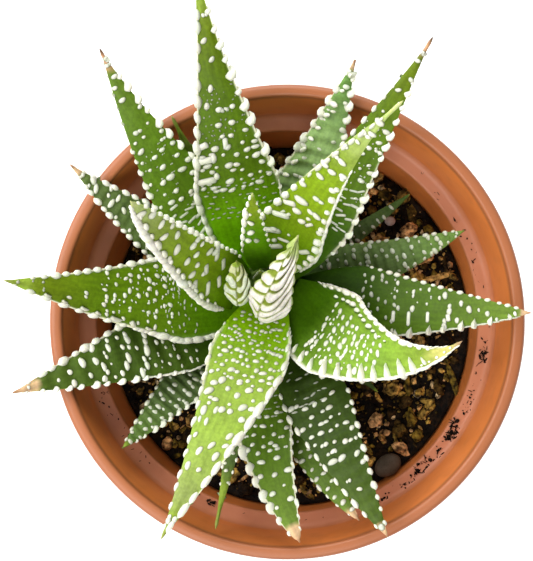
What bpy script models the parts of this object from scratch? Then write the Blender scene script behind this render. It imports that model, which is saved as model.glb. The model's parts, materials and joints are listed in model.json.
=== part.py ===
"""A haworthia rosette in a round plastic pot, in metres with +Z up.

The origin is the centre of the pot's flat underside. The pot is a turned shape with
drain holes, the soil fills it and has a plain hole for the stem, and every leaf is its
own solid, lofted along a rising curve with rows of raised tubercles and a toothed edge.
"""

import math
import random
from dataclasses import dataclass

import bpy
import bmesh
import numpy as np

MM = 0.001
GAP = 0.3 * MM
RANDOM_SEED = 17

# Pot: outside sizes, then the inside of the rim band and of the tapering wall.
POT_HEIGHT = 95 * MM
RIM_RADIUS = 55 * MM
RIM_BAND = 20.5 * MM
RIM_TAPER = 0.6 * MM
LIP_WIDTH = 2.9 * MM
BASE_RADIUS = 39 * MM
WALL = 1.9 * MM
FLOOR = 2.2 * MM
LEDGE_DEPTH = 19 * MM
LEDGE_OUTER = 50.3 * MM
LEDGE_INNER = 46.4 * MM
POT_SIDES = 48
DRAIN_HOLES = 8
DRAIN_RADIUS = 4 * MM
DRAIN_CIRCLE = 26 * MM

# Soil: the mean level, and how far it climbs from one side of the pot to the other.
SOIL_LEVEL = 64.6 * MM
SOIL_CLIMB = 5.6 * MM
SOIL_HIGH_SIDE = 300
SOIL_RELIEF = 0.9 * MM
SOIL_RINGS = 9
SOIL_SIDES = 40

# Plant: where the stem stands, the level its lowest leaves leave it at, and its radii.
CROWN_X = -5.5 * MM
CROWN_Y = 8.5 * MM
CROWN_Z = 66 * MM
STEM_HOLE_RADIUS = 6.3 * MM
STEM_HOLE_FLOOR = 51.5 * MM
STEM_SIDES = 16

# Leaf skin: raised tubercles and the teeth along both edges.
ROW_PITCH = 5.0 * MM
ROW_LENGTH = 1.5 * MM
WART_HEIGHT = 0.8 * MM
TOOTH_HEIGHT = 0.8 * MM
FIRST_ROW = 0.12
LAST_ROW = 0.93
SMOOTH_FACE = 0.27
TIP_HALF_WIDTH = 0.4 * MM
TIP_THICKNESS = 0.7 * MM
UPPER_COLUMNS = (-1.0, -0.6, -0.2, 0.2, 0.6, 1.0)
LOWER_COLUMNS = (0.65, 0.22, -0.22, -0.65)
CURVE_STEPS = 96


@dataclass(frozen=True)
class Leaf:
    """One leaf: angles in degrees, lengths in millimetres.

    heading is the side of the stem that it grows from and lift is its height above the
    crown. It leaves at heading + turn, swings by sweep and rises at rise_base to rise_tip.
    """

    name: str
    heading: float
    lift: float
    length: float
    width: float
    thickness: float
    rise_base: float
    rise_tip: float
    start: float
    turn: float = 0.0
    sweep: float = 0.0
    bow: float = 1.0
    taper: float = 1.0
    widest: float = 0.36
    foot: float = 0.5
    cup: float = 0.25
    tone: str = "mid"


LEAVES = (
    # Upright heart leaves round the growing point.
    Leaf("leaf_heart_tip", 100, 25.4, 12, 4, 1.6, 84, 80, 1.2, taper=0.8, foot=0.8, tone="heart"),
    Leaf("leaf_heart_south", 286, 23, 40, 9.0, 3.0, 82, 148, 5.0, turn=-39, sweep=-2,
         taper=0.8, widest=0.45, foot=0.5, tone="heart"),
    Leaf("leaf_heart_west", 201, 24, 23, 6, 2.2, 84, 132, 5.9, turn=69, taper=0.4,
         widest=0.5, foot=0.7, tone="heart"),
    Leaf("leaf_heart_north", 101, 22, 50.5, 6.5, 2.6, 78, 70, 3.6, sweep=-14, taper=0.65,
         tone="young"),
    # Long bright leaves of the upper whorl.
    Leaf("leaf_upper_northwest", 197, 20, 54.5, 14, 3.8, 66, 52, 5.5, turn=-47, sweep=-18,
         taper=0.65, widest=0.25, foot=0.7, tone="young"),
    Leaf("leaf_upper_northeast", 61, 20.2, 69, 16.5, 4.0, 61, 43, 4.0, turn=2.5, sweep=-25,
         taper=1.3, widest=0.24, foot=0.45, tone="young"),
    Leaf("leaf_upper_south", 284, 20.3, 64, 18.2, 4.2, 42, 15, 4.9, turn=-33, sweep=-10,
         taper=0.95, widest=0.28, foot=0.55, tone="young"),
    Leaf("leaf_upper_north", 110, 17, 77, 19.3, 4.2, 50, 16, 4.5, turn=-6, sweep=-5,
         taper=1.25, widest=0.34, foot=0.6, tone="bright"),
    Leaf("leaf_upper_east", 342, 16, 57, 21, 4.2, 45, 35, 5.4, turn=-27, sweep=84, bow=2,
         taper=1.2, foot=0.45, cup=0.5, tone="bright"),
    # Middle whorl, lying out over the rim.
    Leaf("leaf_middle_northeast", 33, 14.5, 69, 15.8, 3.8, 42, 12, 5.6, turn=22, sweep=4,
         taper=1.15, widest=0.3, foot=0.42, tone="mid"),
    Leaf("leaf_middle_west", 205, 13, 60, 21, 4.2, 34, 22, 5.5, turn=-21, sweep=-14,
         taper=0.97, widest=0.28, foot=0.62, tone="bright"),
    Leaf("leaf_middle_east", 345, 12.8, 60.5, 17, 3.8, 31, 17, 5.7, turn=5, sweep=9,
         taper=0.85, foot=0.34, tone="mid"),
    Leaf("leaf_middle_southeast", 307, 11.3, 63, 15.5, 3.8, 33, 13, 6.2, turn=-18, sweep=12,
         taper=0.85, widest=0.46, foot=0.4, tone="dark"),
    Leaf("leaf_middle_northwest", 134, 10.5, 67, 17, 4.0, 38, 23, 6.0, sweep=-20, taper=1.1,
         tone="mid"),
    Leaf("leaf_middle_south", 273, 8.0, 59.5, 15, 3.6, 30, 18, 6.2, turn=-13, sweep=37,
         taper=0.7, widest=0.42, foot=0.35, tone="mid"),
    Leaf("leaf_middle_southwest", 227, 7.8, 62.5, 18.8, 3.8, 31, 23, 6.6, turn=-23, sweep=-6,
         taper=0.92, widest=0.32, tone="dark"),
    # Old dark leaves at the bottom, several of them thin.
    Leaf("leaf_lower_northeast", 71, 7, 57, 15.5, 3.4, 33, 30, 6.2, turn=-7, sweep=6, tone="pale"),
    Leaf("leaf_lower_west", 157, 6.6, 54, 14, 3.4, 32, 34, 6.3, sweep=-20, taper=0.95,
         foot=0.6, tone="dark"),
    Leaf("leaf_lower_east", 8, 6, 46.5, 13, 3.2, 25, 23, 6.2, sweep=16, taper=0.8,
         tone="grey"),
    Leaf("leaf_lower_southeast", 286, 4.5, 59, 12, 3.0, 24, 26, 6.3, turn=-14, sweep=42,
         taper=0.7, tone="dark"),
    Leaf("leaf_lower_southwest", 231, 4.5, 48, 13.5, 3.4, 24, 23, 6.5, turn=1, sweep=-6,
         taper=0.8, tone="grey"),
    Leaf("leaf_thin_north", 121, 4, 47, 6.5, 2.6, 29, 45, 6.3, turn=-1, sweep=-4, foot=0.6,
         tone="mid"),
    Leaf("leaf_thin_south", 259, 2, 57, 6.5, 2.4, 22, 30, 6.4, tone="mid"),
    Leaf("leaf_thin_east", 22, 2, 37, 5.5, 2.4, 12, 25, 6.5, turn=9, sweep=6, taper=0.7,
         tone="grey"),
    Leaf("leaf_thin_southeast", 317, 2.5, 32, 7.5, 2.4, 8, 16, 6.5, taper=0.9, tone="grey"),
)

# Base colours of the leaf tones, as linear RGB.
LEAF_COLOURS = {
    "heart": (0.42, 0.50, 0.16),
    "young": (0.20, 0.36, 0.03),
    "bright": (0.14, 0.30, 0.02),
    "mid": (0.07, 0.20, 0.03),
    "dark": (0.04, 0.13, 0.04),
    "pale": (0.16, 0.30, 0.14),
    "grey": (0.09, 0.17, 0.09),
}


@dataclass(frozen=True)
class Pebble:
    """One smooth stone on the soil: its side and distance from the pot's axis, its half sizes."""

    name: str
    heading: float
    reach: float
    half_length: float
    half_width: float
    half_height: float
    turn: float


PEBBLES = (
    Pebble("pebble_dark", 305, 43, 3.6, 2.7, 2.0, 34),
    Pebble("pebble_pale", 44, 36, 1.4, 1.2, 1.1, 0),
)


def clear_scene():
    """Removes every object that the startup file holds."""
    for obj in list(bpy.data.objects):
        bpy.data.objects.remove(obj, do_unlink=True)


def make_collection(name, is_helper=False):
    """Adds a collection to the scene and returns it."""
    collection = bpy.data.collections.new(name)
    collection.hide_render = is_helper
    bpy.context.scene.collection.children.link(collection)
    return collection


def make_material(name, colour, roughness):
    """Returns a plain Principled material."""
    material = bpy.data.materials.new(name)
    material.use_nodes = True
    shader = material.node_tree.nodes["Principled BSDF"]
    shader.inputs["Base Color"].default_value = (*colour, 1.0)
    shader.inputs["Roughness"].default_value = roughness
    shader.inputs["Metallic"].default_value = 0.0
    return material


def add_mesh_object(name, points, faces, collection, material=None):
    """Makes a mesh object from points and faces and returns it."""
    mesh = bpy.data.meshes.new(name)
    mesh.from_pydata([tuple(map(float, point)) for point in points], [], faces)
    mesh.update()
    obj = bpy.data.objects.new(name, mesh)
    collection.objects.link(obj)
    if material:
        mesh.materials.append(material)
    return obj


def shade_round(mesh, sharp_degrees):
    """Shades a mesh smooth, keeping edges sharper than the angle."""
    mesh.shade_smooth()
    mesh.set_sharp_from_angle(angle=math.radians(sharp_degrees))


def smooth_step(value):
    """Eases a value from 0 to 1."""
    value = min(max(value, 0.0), 1.0)
    return value * value * (3 - 2 * value)


# ---------------------------------------------------------------- pot


def wall_radius(height):
    """The radius of the pot's inner wall below the ledge, at a height."""
    share = (height - FLOOR) / (POT_HEIGHT - LEDGE_DEPTH - FLOOR)
    return BASE_RADIUS - WALL + (LEDGE_INNER - BASE_RADIUS + WALL) * share


def pot_profile():
    """The pot's half section as (radius, height), from the lip down the outside and up inside."""
    band_foot = POT_HEIGHT - RIM_BAND
    ledge = POT_HEIGHT - LEDGE_DEPTH
    body_top = LEDGE_INNER + WALL
    lip_inner = RIM_RADIUS - LIP_WIDTH
    outside = [
        (RIM_RADIUS - 0.9 * MM, POT_HEIGHT),
        (RIM_RADIUS - 0.2 * MM, POT_HEIGHT - 0.5 * MM),
        (RIM_RADIUS, POT_HEIGHT - 1.4 * MM),
        (RIM_RADIUS - RIM_TAPER, band_foot + 0.8 * MM),
        (RIM_RADIUS - RIM_TAPER - 0.8 * MM, band_foot),
        (body_top + 1.2 * MM, band_foot),
        (body_top, band_foot - 1.4 * MM),
        (BASE_RADIUS + 0.1 * MM, 1.2 * MM),
        (BASE_RADIUS - 0.8 * MM, 0.0),
        (0.0, 0.0),
    ]
    inside = [
        (0.0, FLOOR),
        (wall_radius(FLOOR) - 1.5 * MM, FLOOR),
        (wall_radius(FLOOR + 1.5 * MM), FLOOR + 1.5 * MM),
        (LEDGE_INNER, ledge - 0.5 * MM),
        (LEDGE_INNER + 0.5 * MM, ledge),
        (LEDGE_OUTER - 1.4 * MM, ledge + 0.3 * MM),
        (LEDGE_OUTER, ledge + 1.8 * MM),
        (lip_inner - 0.3 * MM, POT_HEIGHT - 0.9 * MM),
        (lip_inner + 0.4 * MM, POT_HEIGHT),
    ]
    return outside + inside


def build_pot(parts, cutters):
    """Turns the pot from its half section and cuts the drain holes."""
    points = [(radius, 0.0, height) for radius, height in pot_profile()]
    closing = len(points) - 1
    axis_ends = [index for index, (radius, _, _) in enumerate(points) if radius == 0.0]
    mesh = bpy.data.meshes.new("pot")
    edges = [(index, index + 1) for index in range(closing) if index != axis_ends[0]]
    mesh.from_pydata(points, edges + [(closing, 0)], [])
    pot = bpy.data.objects.new("pot", mesh)
    parts.objects.link(pot)
    turn = pot.modifiers.new("turn", "SCREW")
    turn.steps = POT_SIDES
    turn.render_steps = POT_SIDES
    turn.use_merge_vertices = True
    turn.merge_threshold = 0.0001
    turn.use_smooth_shade = True
    for index in range(DRAIN_HOLES):
        angle = 2 * math.pi * (index + 0.5) / DRAIN_HOLES
        place = (DRAIN_CIRCLE * math.cos(angle), DRAIN_CIRCLE * math.sin(angle), FLOOR / 2)
        bpy.ops.mesh.primitive_cylinder_add(
            vertices=12, radius=DRAIN_RADIUS, depth=4 * FLOOR, location=place
        )
        drill = bpy.context.object
        drill.name = f"drain_drill_{index + 1}"
        drill.display_type = "WIRE"
        drill.hide_render = True
        bpy.context.collection.objects.unlink(drill)
        cutters.objects.link(drill)
    holes = pot.modifiers.new("drain_holes", "BOOLEAN")
    holes.operation = "DIFFERENCE"
    holes.operand_type = "COLLECTION"
    holes.collection = cutters
    holes.solver = "EXACT"
    mesh.materials.append(make_material("terracotta_plastic", (0.47, 0.15, 0.045), 0.4))


# ---------------------------------------------------------------- soil, pebbles and stem


def soil_height(x, y):
    """The mean level of the soil at a place, sloping across the pot."""
    high = math.radians(SOIL_HIGH_SIDE)
    along = (x * math.cos(high) + y * math.sin(high)) / LEDGE_INNER
    return SOIL_LEVEL + SOIL_CLIMB * along + 1.2 * MM * max(along, 0.0)


def pebble_centre(pebble):
    """Where a pebble's middle lies: just clear of the soil under it."""
    angle = math.radians(pebble.heading)
    x = pebble.reach * MM * math.cos(angle)
    y = pebble.reach * MM * math.sin(angle)
    return x, y, soil_height(x, y) + (pebble.half_height + 0.2) * MM


def soil_top(x, y, bump):
    """The soil's level with its grain, pressed down where a pebble lies."""
    level = soil_height(x, y) + bump
    for pebble in PEBBLES:
        px, py, pz = pebble_centre(pebble)
        distance = math.hypot(x - px, y - py)
        if distance < (pebble.half_length + 4.5) * MM:
            level = min(level, pz - pebble.half_height * MM - GAP)
    return level


def build_soil(parts, material):
    """Lofts the soil between the stem's hole and the pot's wall, with a grainy top."""
    rng = random.Random(RANDOM_SEED)
    points = []
    faces = []
    sides = range(SOIL_SIDES)

    def add_ring(ring):
        points.extend(ring)
        return len(points) - SOIL_SIDES

    def join_rings(first, second):
        for side in sides:
            after = (side + 1) % SOIL_SIDES
            faces.append((first + side, second + side, second + after, first + after))

    def circle(centre_x, centre_y, radius, height):
        turns = [2 * math.pi * side / SOIL_SIDES for side in sides]
        return [
            (centre_x + radius * math.cos(turn), centre_y + radius * math.sin(turn), height)
            for turn in turns
        ]

    hole_floor = add_ring(circle(CROWN_X, CROWN_Y, STEM_HOLE_RADIUS, STEM_HOLE_FLOOR))
    previous = hole_floor
    for ring_index in range(SOIL_RINGS + 1):
        share = ring_index / SOIL_RINGS
        ring = []
        for side in sides:
            wobble = 0.3 * (rng.random() - 0.5) if 0 < ring_index < SOIL_RINGS else 0.0
            turn = 2 * math.pi * (side + wobble) / SOIL_SIDES
            bump = SOIL_RELIEF * rng.uniform(-1, 1) if ring_index else 0.0
            far_x = LEDGE_INNER * math.cos(turn)
            edge = wall_radius(soil_height(far_x, LEDGE_INNER * math.sin(turn)) + bump)
            edge -= 2 * GAP
            x = (1 - share) * (CROWN_X + STEM_HOLE_RADIUS * math.cos(turn))
            x += share * edge * math.cos(turn)
            y = (1 - share) * (CROWN_Y + STEM_HOLE_RADIUS * math.sin(turn))
            y += share * edge * math.sin(turn)
            ring.append((x, y, soil_top(x, y, bump)))
        current = add_ring(ring)
        join_rings(previous, current)
        previous = current
    bottom_radius = wall_radius(FLOOR + GAP) - 2.4 * MM
    bottom = add_ring(circle(0.0, 0.0, bottom_radius, FLOOR + GAP))
    join_rings(previous, bottom)
    faces.append(tuple(bottom + side for side in reversed(sides)))
    faces.append(tuple(hole_floor + side for side in sides))
    soil = add_mesh_object("soil", points, faces, parts, material)
    shade_round(soil.data, 40)


def build_pebbles(parts):
    """Adds the smooth stones that lie on the soil."""
    for pebble in PEBBLES:
        bpy.ops.mesh.primitive_uv_sphere_add(segments=12, ring_count=7, radius=1.0)
        stone = bpy.context.object
        stone.name = pebble.name
        stone.data.name = pebble.name
        stone.scale = (
            pebble.half_length * MM,
            pebble.half_width * MM,
            pebble.half_height * MM,
        )
        bpy.ops.object.transform_apply(location=False, rotation=False, scale=True)
        stone.rotation_euler = (0.0, 0.0, math.radians(pebble.turn))
        stone.location = pebble_centre(pebble)
        stone.data.shade_smooth()
        stone.data.materials.append(make_material(pebble.name, (0.16, 0.13, 0.10), 0.6))
        bpy.context.collection.objects.unlink(stone)
        parts.objects.link(stone)


def stem_radius(lift):
    """The stem's radius at a height above the crown, in millimetres."""
    heights = (-15, 0, 8, 13, 17, 20, 22, 25)
    radii = (5.6, 5.9, 6.0, 5.2, 4.3, 3.7, 3.2, 2.2)
    return float(np.interp(lift, heights, radii))


def build_stem(parts):
    """Turns the stem: it stands in the soil's hole and the leaves leave it in a spiral."""
    foot = (STEM_HOLE_FLOOR + GAP - CROWN_Z) / MM
    lifts = (25, 22, 20, 17, 13, 8, 0, foot)
    points = [(0.0, 0.0, 25.0 * MM)]
    points += [(stem_radius(lift) * MM, 0.0, lift * MM) for lift in lifts]
    points.append((0.0, 0.0, foot * MM))
    mesh = bpy.data.meshes.new("stem")
    mesh.from_pydata(points, [(index, index + 1) for index in range(len(points) - 1)], [])
    stem = bpy.data.objects.new("stem", mesh)
    stem.location = (CROWN_X, CROWN_Y, CROWN_Z)
    parts.objects.link(stem)
    turn = stem.modifiers.new("turn", "SCREW")
    turn.steps = STEM_SIDES
    turn.render_steps = STEM_SIDES
    turn.use_merge_vertices = True
    turn.merge_threshold = 0.0001
    turn.use_smooth_shade = True
    mesh.materials.append(make_material("stem_green", (0.22, 0.30, 0.10), 0.6))


# ---------------------------------------------------------------- leaves


def leaf_frames(leaf, shares):
    """Frames along a leaf at shares of its length: centre, along, side and up, in metres."""
    grid = np.linspace(0.0, 1.0, CURVE_STEPS + 1)
    rise = np.radians(leaf.rise_base + (leaf.rise_tip - leaf.rise_base) * grid)
    swing = np.radians(leaf.heading + leaf.turn + leaf.sweep * grid**leaf.bow)
    along = np.stack(
        [np.cos(rise) * np.cos(swing), np.cos(rise) * np.sin(swing), np.sin(rise)], axis=1
    )
    steps = (along[:-1] + along[1:]) / 2 * leaf.length / CURVE_STEPS
    side_of_stem = math.radians(leaf.heading)
    foot = np.array([
        CROWN_X / MM + leaf.start * math.cos(side_of_stem),
        CROWN_Y / MM + leaf.start * math.sin(side_of_stem),
        CROWN_Z / MM + leaf.lift,
    ])
    centres = foot + np.vstack([np.zeros(3), np.cumsum(steps, axis=0)])
    frames = []
    for share in shares:
        centre = np.array([np.interp(share, grid, centres[:, axis]) for axis in range(3)])
        forward = np.array([np.interp(share, grid, along[:, axis]) for axis in range(3)])
        forward /= np.linalg.norm(forward)
        side = np.cross((0.0, 0.0, 1.0), (math.cos(np.interp(share, grid, swing)),
                                         math.sin(np.interp(share, grid, swing)), 0.0))
        frames.append((centre * MM, forward, side, np.cross(forward, side)))
    return frames


def leaf_half_width(leaf, share):
    """Half the leaf's width at a share of its length."""
    if share < leaf.widest:
        swell = math.sin(math.pi / 2 * share / leaf.widest)
        profile = leaf.foot + (1 - leaf.foot) * swell
    else:
        profile = (1 - (share - leaf.widest) / (1 - leaf.widest)) ** leaf.taper
    return max(leaf.width / 2 * MM * profile, TIP_HALF_WIDTH)


def leaf_thickness(leaf, share):
    """The leaf's depth below its edges at a share of its length."""
    swell = 0.85 + 0.15 * math.sin(math.pi * min(share / 0.5, 1.0))
    fade = 1 - max((share - 0.3) / 0.7, 0.0) ** 1.3
    return max(leaf.thickness * MM * swell * fade, TIP_THICKNESS)


def leaf_rows(leaf):
    """The shares of its length at which a leaf has its rows of tubercles."""
    count = max(2, round(leaf.length * MM * (LAST_ROW - FIRST_ROW) / ROW_PITCH))
    return [FIRST_ROW + (LAST_ROW - FIRST_ROW) * index / count for index in range(count + 1)]


def leaf_ring(leaf, share, frame, tooth):
    """The cross section's points, across the upper face and back along the lower one."""
    centre, _, side, up = frame
    half_width = leaf_half_width(leaf, share)
    thickness = leaf_thickness(leaf, share)
    bulge = thickness * (0.6 * share - leaf.cup)
    ring = []
    for column in UPPER_COLUMNS:
        reach = half_width + (tooth if abs(column) == 1 else 0.0)
        ring.append(centre - side * reach * column + up * bulge * (1 - column**2))
    for column in LOWER_COLUMNS:
        depth = 0.95 * thickness * (1 - abs(column) ** 2.2)
        ring.append(centre - side * half_width * column - up * depth)
    return ring


def build_leaf(leaf, parts, material):
    """Lofts one leaf, raising tubercles in alternate cells of its rows and teeth on its edges."""
    half_row = ROW_LENGTH / (2 * leaf.length * MM)
    rows = leaf_rows(leaf)
    shares = [0.0]
    for row in rows:
        shares += [row - half_row, row + half_row]
    shares.append(1.0)
    frames = leaf_frames(leaf, shares)
    points = []
    for index, (share, frame) in enumerate(zip(shares, frames)):
        starts_row = index % 2 == 1 and index < len(shares) - 1
        fade = smooth_step((share - 0.1) / 0.2) * min(1.0, 2.2 * (1 - share) + 0.2)
        points += leaf_ring(leaf, share, frame, TOOTH_HEIGHT * fade if starts_row else 0.0)
    faces = []
    around = len(UPPER_COLUMNS) + len(LOWER_COLUMNS)
    upper_cells = len(UPPER_COLUMNS) - 1
    for ring in range(len(shares) - 1):
        row = ring // 2
        is_row = ring % 2 == 1 and ring < len(shares) - 2
        share = (shares[ring] + shares[ring + 1]) / 2
        for cell in range(around):
            following = (cell + 1) % around
            corners = (
                ring * around + cell,
                ring * around + following,
                (ring + 1) * around + following,
                (ring + 1) * around + cell,
            )
            is_upper = cell < upper_cells
            has_wart = is_row and (cell + row) % 2 == 0
            if not has_wart or (is_upper and share < SMOOTH_FACE):
                faces.append(corners)
                continue
            up = frames[ring][3] if is_upper else -frames[ring][3]
            fade = min(1.0, 2.5 * (1 - share) + 0.15)
            middle = sum(points[corner] for corner in corners) / 4
            points.append(middle + up * WART_HEIGHT * fade)
            peak = len(points) - 1
            for corner in range(4):
                faces.append((corners[corner], corners[(corner + 1) % 4], peak))
    last = (len(shares) - 1) * around
    faces.append(tuple(reversed(range(around))))
    faces.append(tuple(range(last, last + around)))
    obj = add_mesh_object(leaf.name, points, faces, parts, material)
    turn_outward(obj.data)
    shade_round(obj.data, 50)


def turn_outward(mesh):
    """Makes every face of a closed mesh point out, splitting the bent ones into triangles."""
    shape = bmesh.new()
    shape.from_mesh(mesh)
    bmesh.ops.recalc_face_normals(shape, faces=shape.faces)
    bmesh.ops.triangulate(shape, faces=shape.faces)
    shape.to_mesh(mesh)
    shape.free()


def main():
    """Builds the potted plant."""
    clear_scene()
    parts = make_collection("potted_haworthia")
    cutters = make_collection("cutters", is_helper=True)
    build_pot(parts, cutters)
    build_soil(parts, make_material("peat_soil", (0.035, 0.022, 0.013), 0.9))
    build_pebbles(parts)
    build_stem(parts)
    for leaf in LEAVES:
        material = make_material(leaf.name, LEAF_COLOURS[leaf.tone], 0.4)
        build_leaf(leaf, parts, material)


main()
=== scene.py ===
"""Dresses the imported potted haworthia: a fine pot, soil, stones and leaves with pearly warts.

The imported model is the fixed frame, in metres with +Z up. Forms are worked out in
millimetres from the same sizes as the solids that they stand for.
"""

import json
import logging
import math
from collections.abc import Callable
from dataclasses import dataclass, field, replace
from enum import Enum, IntEnum
from functools import cached_property

import bmesh
import bpy
import numpy as np
from mathutils import Matrix, Vector, noise

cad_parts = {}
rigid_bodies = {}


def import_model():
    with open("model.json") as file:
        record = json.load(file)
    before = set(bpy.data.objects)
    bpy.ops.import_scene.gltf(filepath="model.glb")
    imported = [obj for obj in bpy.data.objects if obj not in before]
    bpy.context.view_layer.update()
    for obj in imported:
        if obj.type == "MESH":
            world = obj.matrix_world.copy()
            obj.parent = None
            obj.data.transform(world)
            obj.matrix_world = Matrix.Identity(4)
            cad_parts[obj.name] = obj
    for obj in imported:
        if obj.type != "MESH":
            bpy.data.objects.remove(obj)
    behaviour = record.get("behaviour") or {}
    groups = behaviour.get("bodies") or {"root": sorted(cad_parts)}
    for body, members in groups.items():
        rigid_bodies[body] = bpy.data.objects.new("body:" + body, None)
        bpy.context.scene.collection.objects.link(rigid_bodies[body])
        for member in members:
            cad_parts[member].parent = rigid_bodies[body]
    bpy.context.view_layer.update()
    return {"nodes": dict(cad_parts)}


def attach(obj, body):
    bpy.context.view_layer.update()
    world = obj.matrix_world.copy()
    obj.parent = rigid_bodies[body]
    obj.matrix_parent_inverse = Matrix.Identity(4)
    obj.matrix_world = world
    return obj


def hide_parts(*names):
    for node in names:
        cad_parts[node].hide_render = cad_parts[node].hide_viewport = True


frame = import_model()

LOG = logging.getLogger("potted_haworthia")
MM = 0.001
BODY = "root"
CROWN = np.array([-5.5, 8.5, 66.0])
CURVE_STEPS = 96

Array = np.ndarray
Triple = tuple[float, float, float]
Colour = Triple
Face = tuple[int, ...]
Material = bpy.types.Material
Mesh = bpy.types.Mesh
Piece = bpy.types.Object
Socket = bpy.types.NodeSocket


# ------------------------------------------------------------------ shared tools


def ease(values: Array, low: float, high: float) -> Array:
    """Eases values from 0 at low to 1 at high."""
    share = np.clip((np.asarray(values, float) - low) / (high - low), 0.0, 1.0)
    return share * share * (3 - 2 * share)


def blend_colours(first: Array, second: Colour, share: Array) -> Array:
    """Mixes rows of colours with one colour, by a share for each row."""
    share = np.asarray(share)[..., None]
    return first * (1 - share) + np.array(second) * share


def unit(vectors: Array) -> Array:
    """Scales vectors to length 1."""
    return vectors / np.linalg.norm(vectors, axis=-1, keepdims=True)


def grain(point: Array, pitch: float) -> float:
    """Smooth noise from -1 to 1 at a point in millimetres, with swells a pitch apart."""
    return noise.noise(Vector(point) / pitch)


def circle(sides: int) -> Array:
    """The angles of evenly spaced points round a circle."""
    return np.arange(sides) * 2 * np.pi / sides


def hoops(count: int, sides: int, flip: bool = False) -> list[Face]:
    """Faces between rings of points that follow each other.

    Args:
        count: how many hoops of faces there are, one fewer than the rings.
        sides: the points of each ring.
        flip: whether the faces turn the other way.

    Returns:
        The corners of each face.
    """
    faces = []
    for low in range(0, count * sides, sides):
        for side in range(sides):
            after, high = (side + 1) % sides, low + sides
            face = (low + side, low + after, high + after, high + side)
            faces.append(face[:1] + face[:0:-1] if flip else face)
    return faces


def mesh_from(name: str, points: Array, faces: list[Face], smooth: bool = True) -> Mesh:
    """Makes a mesh from points in millimetres.

    Args:
        name: the mesh's name.
        points: one row for each point.
        faces: the corners of each face.
        smooth: whether it is shaded smooth.

    Returns:
        The mesh, in metres.
    """
    mesh = bpy.data.meshes.new(name)
    mesh.from_pydata((np.asarray(points, float) * MM).tolist(), [], faces)
    mesh.update()
    if smooth:
        mesh.shade_smooth()
    return mesh


def closed_mesh(name: str, points: Array, faces: list[Face]) -> Mesh:
    """Makes a smooth closed mesh from points in millimetres, with its faces turned out."""
    mesh = mesh_from(name, points, faces)
    shape = bmesh.new()
    shape.from_mesh(mesh)
    bmesh.ops.recalc_face_normals(shape, faces=shape.faces)
    shape.to_mesh(mesh)
    shape.free()
    return mesh


def mesh_of(name: str, shape: bmesh.types.BMesh) -> Mesh:
    """Makes a mesh of a worked shape, which is freed."""
    mesh = bpy.data.meshes.new(name)
    shape.to_mesh(mesh)
    shape.free()
    return mesh


def ball_mesh(name: str, subdivisions: int, move: Callable[[Vector], Vector]) -> Mesh:
    """Makes a smooth mesh from a ball of radius 1 whose points are moved by a function."""
    shape = bmesh.new()
    bmesh.ops.create_icosphere(shape, subdivisions=subdivisions, radius=1.0)
    for vertex in shape.verts:
        vertex.co = move(vertex.co)
    mesh = mesh_of(name, shape)
    mesh.shade_smooth()
    return mesh


def store(mesh: Mesh, name: str, kind: str, values: Array) -> None:
    """Stores an attribute on a mesh's points.

    Args:
        mesh: the mesh to write to.
        name: the attribute's name.
        kind: FLOAT, INT, FLOAT_VECTOR, FLOAT_COLOR or QUATERNION.
        values: one row for each point.
    """
    attribute = mesh.attributes.new(name, kind, "POINT")
    values = np.asarray(values)
    if kind == "FLOAT_COLOR":
        values = np.hstack([values, np.ones((len(values), 1))])
    key = {"FLOAT_COLOR": "color", "FLOAT_VECTOR": "vector"}.get(kind, "value")
    dtype = np.int32 if kind == "INT" else np.float32
    attribute.data.foreach_set(key, values.astype(dtype).ravel())


def add_object(name: str, data: bpy.types.ID) -> Piece:
    """Puts a mesh, a light or a camera in the scene as an object."""
    piece = bpy.data.objects.new(name, data)
    bpy.context.scene.collection.objects.link(piece)
    return piece


def show(mesh: Mesh, *finishes: Material) -> Piece:
    """Gives a mesh its finishes and puts it in the scene under its own name."""
    for finish in finishes:
        mesh.materials.append(finish)
    return add_object(mesh.name, mesh)


def ride(piece: Piece, node: str | None = None) -> None:
    """Rides a piece on the body and reports it.

    Args:
        piece: the finished object.
        node: the node that it replaces, if it does.
    """
    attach(piece, BODY)
    if node:
        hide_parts(node)
    LOG.info("%s: %d faces", piece.name, len(piece.data.polygons))


# ------------------------------------------------------------------ nodes


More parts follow.
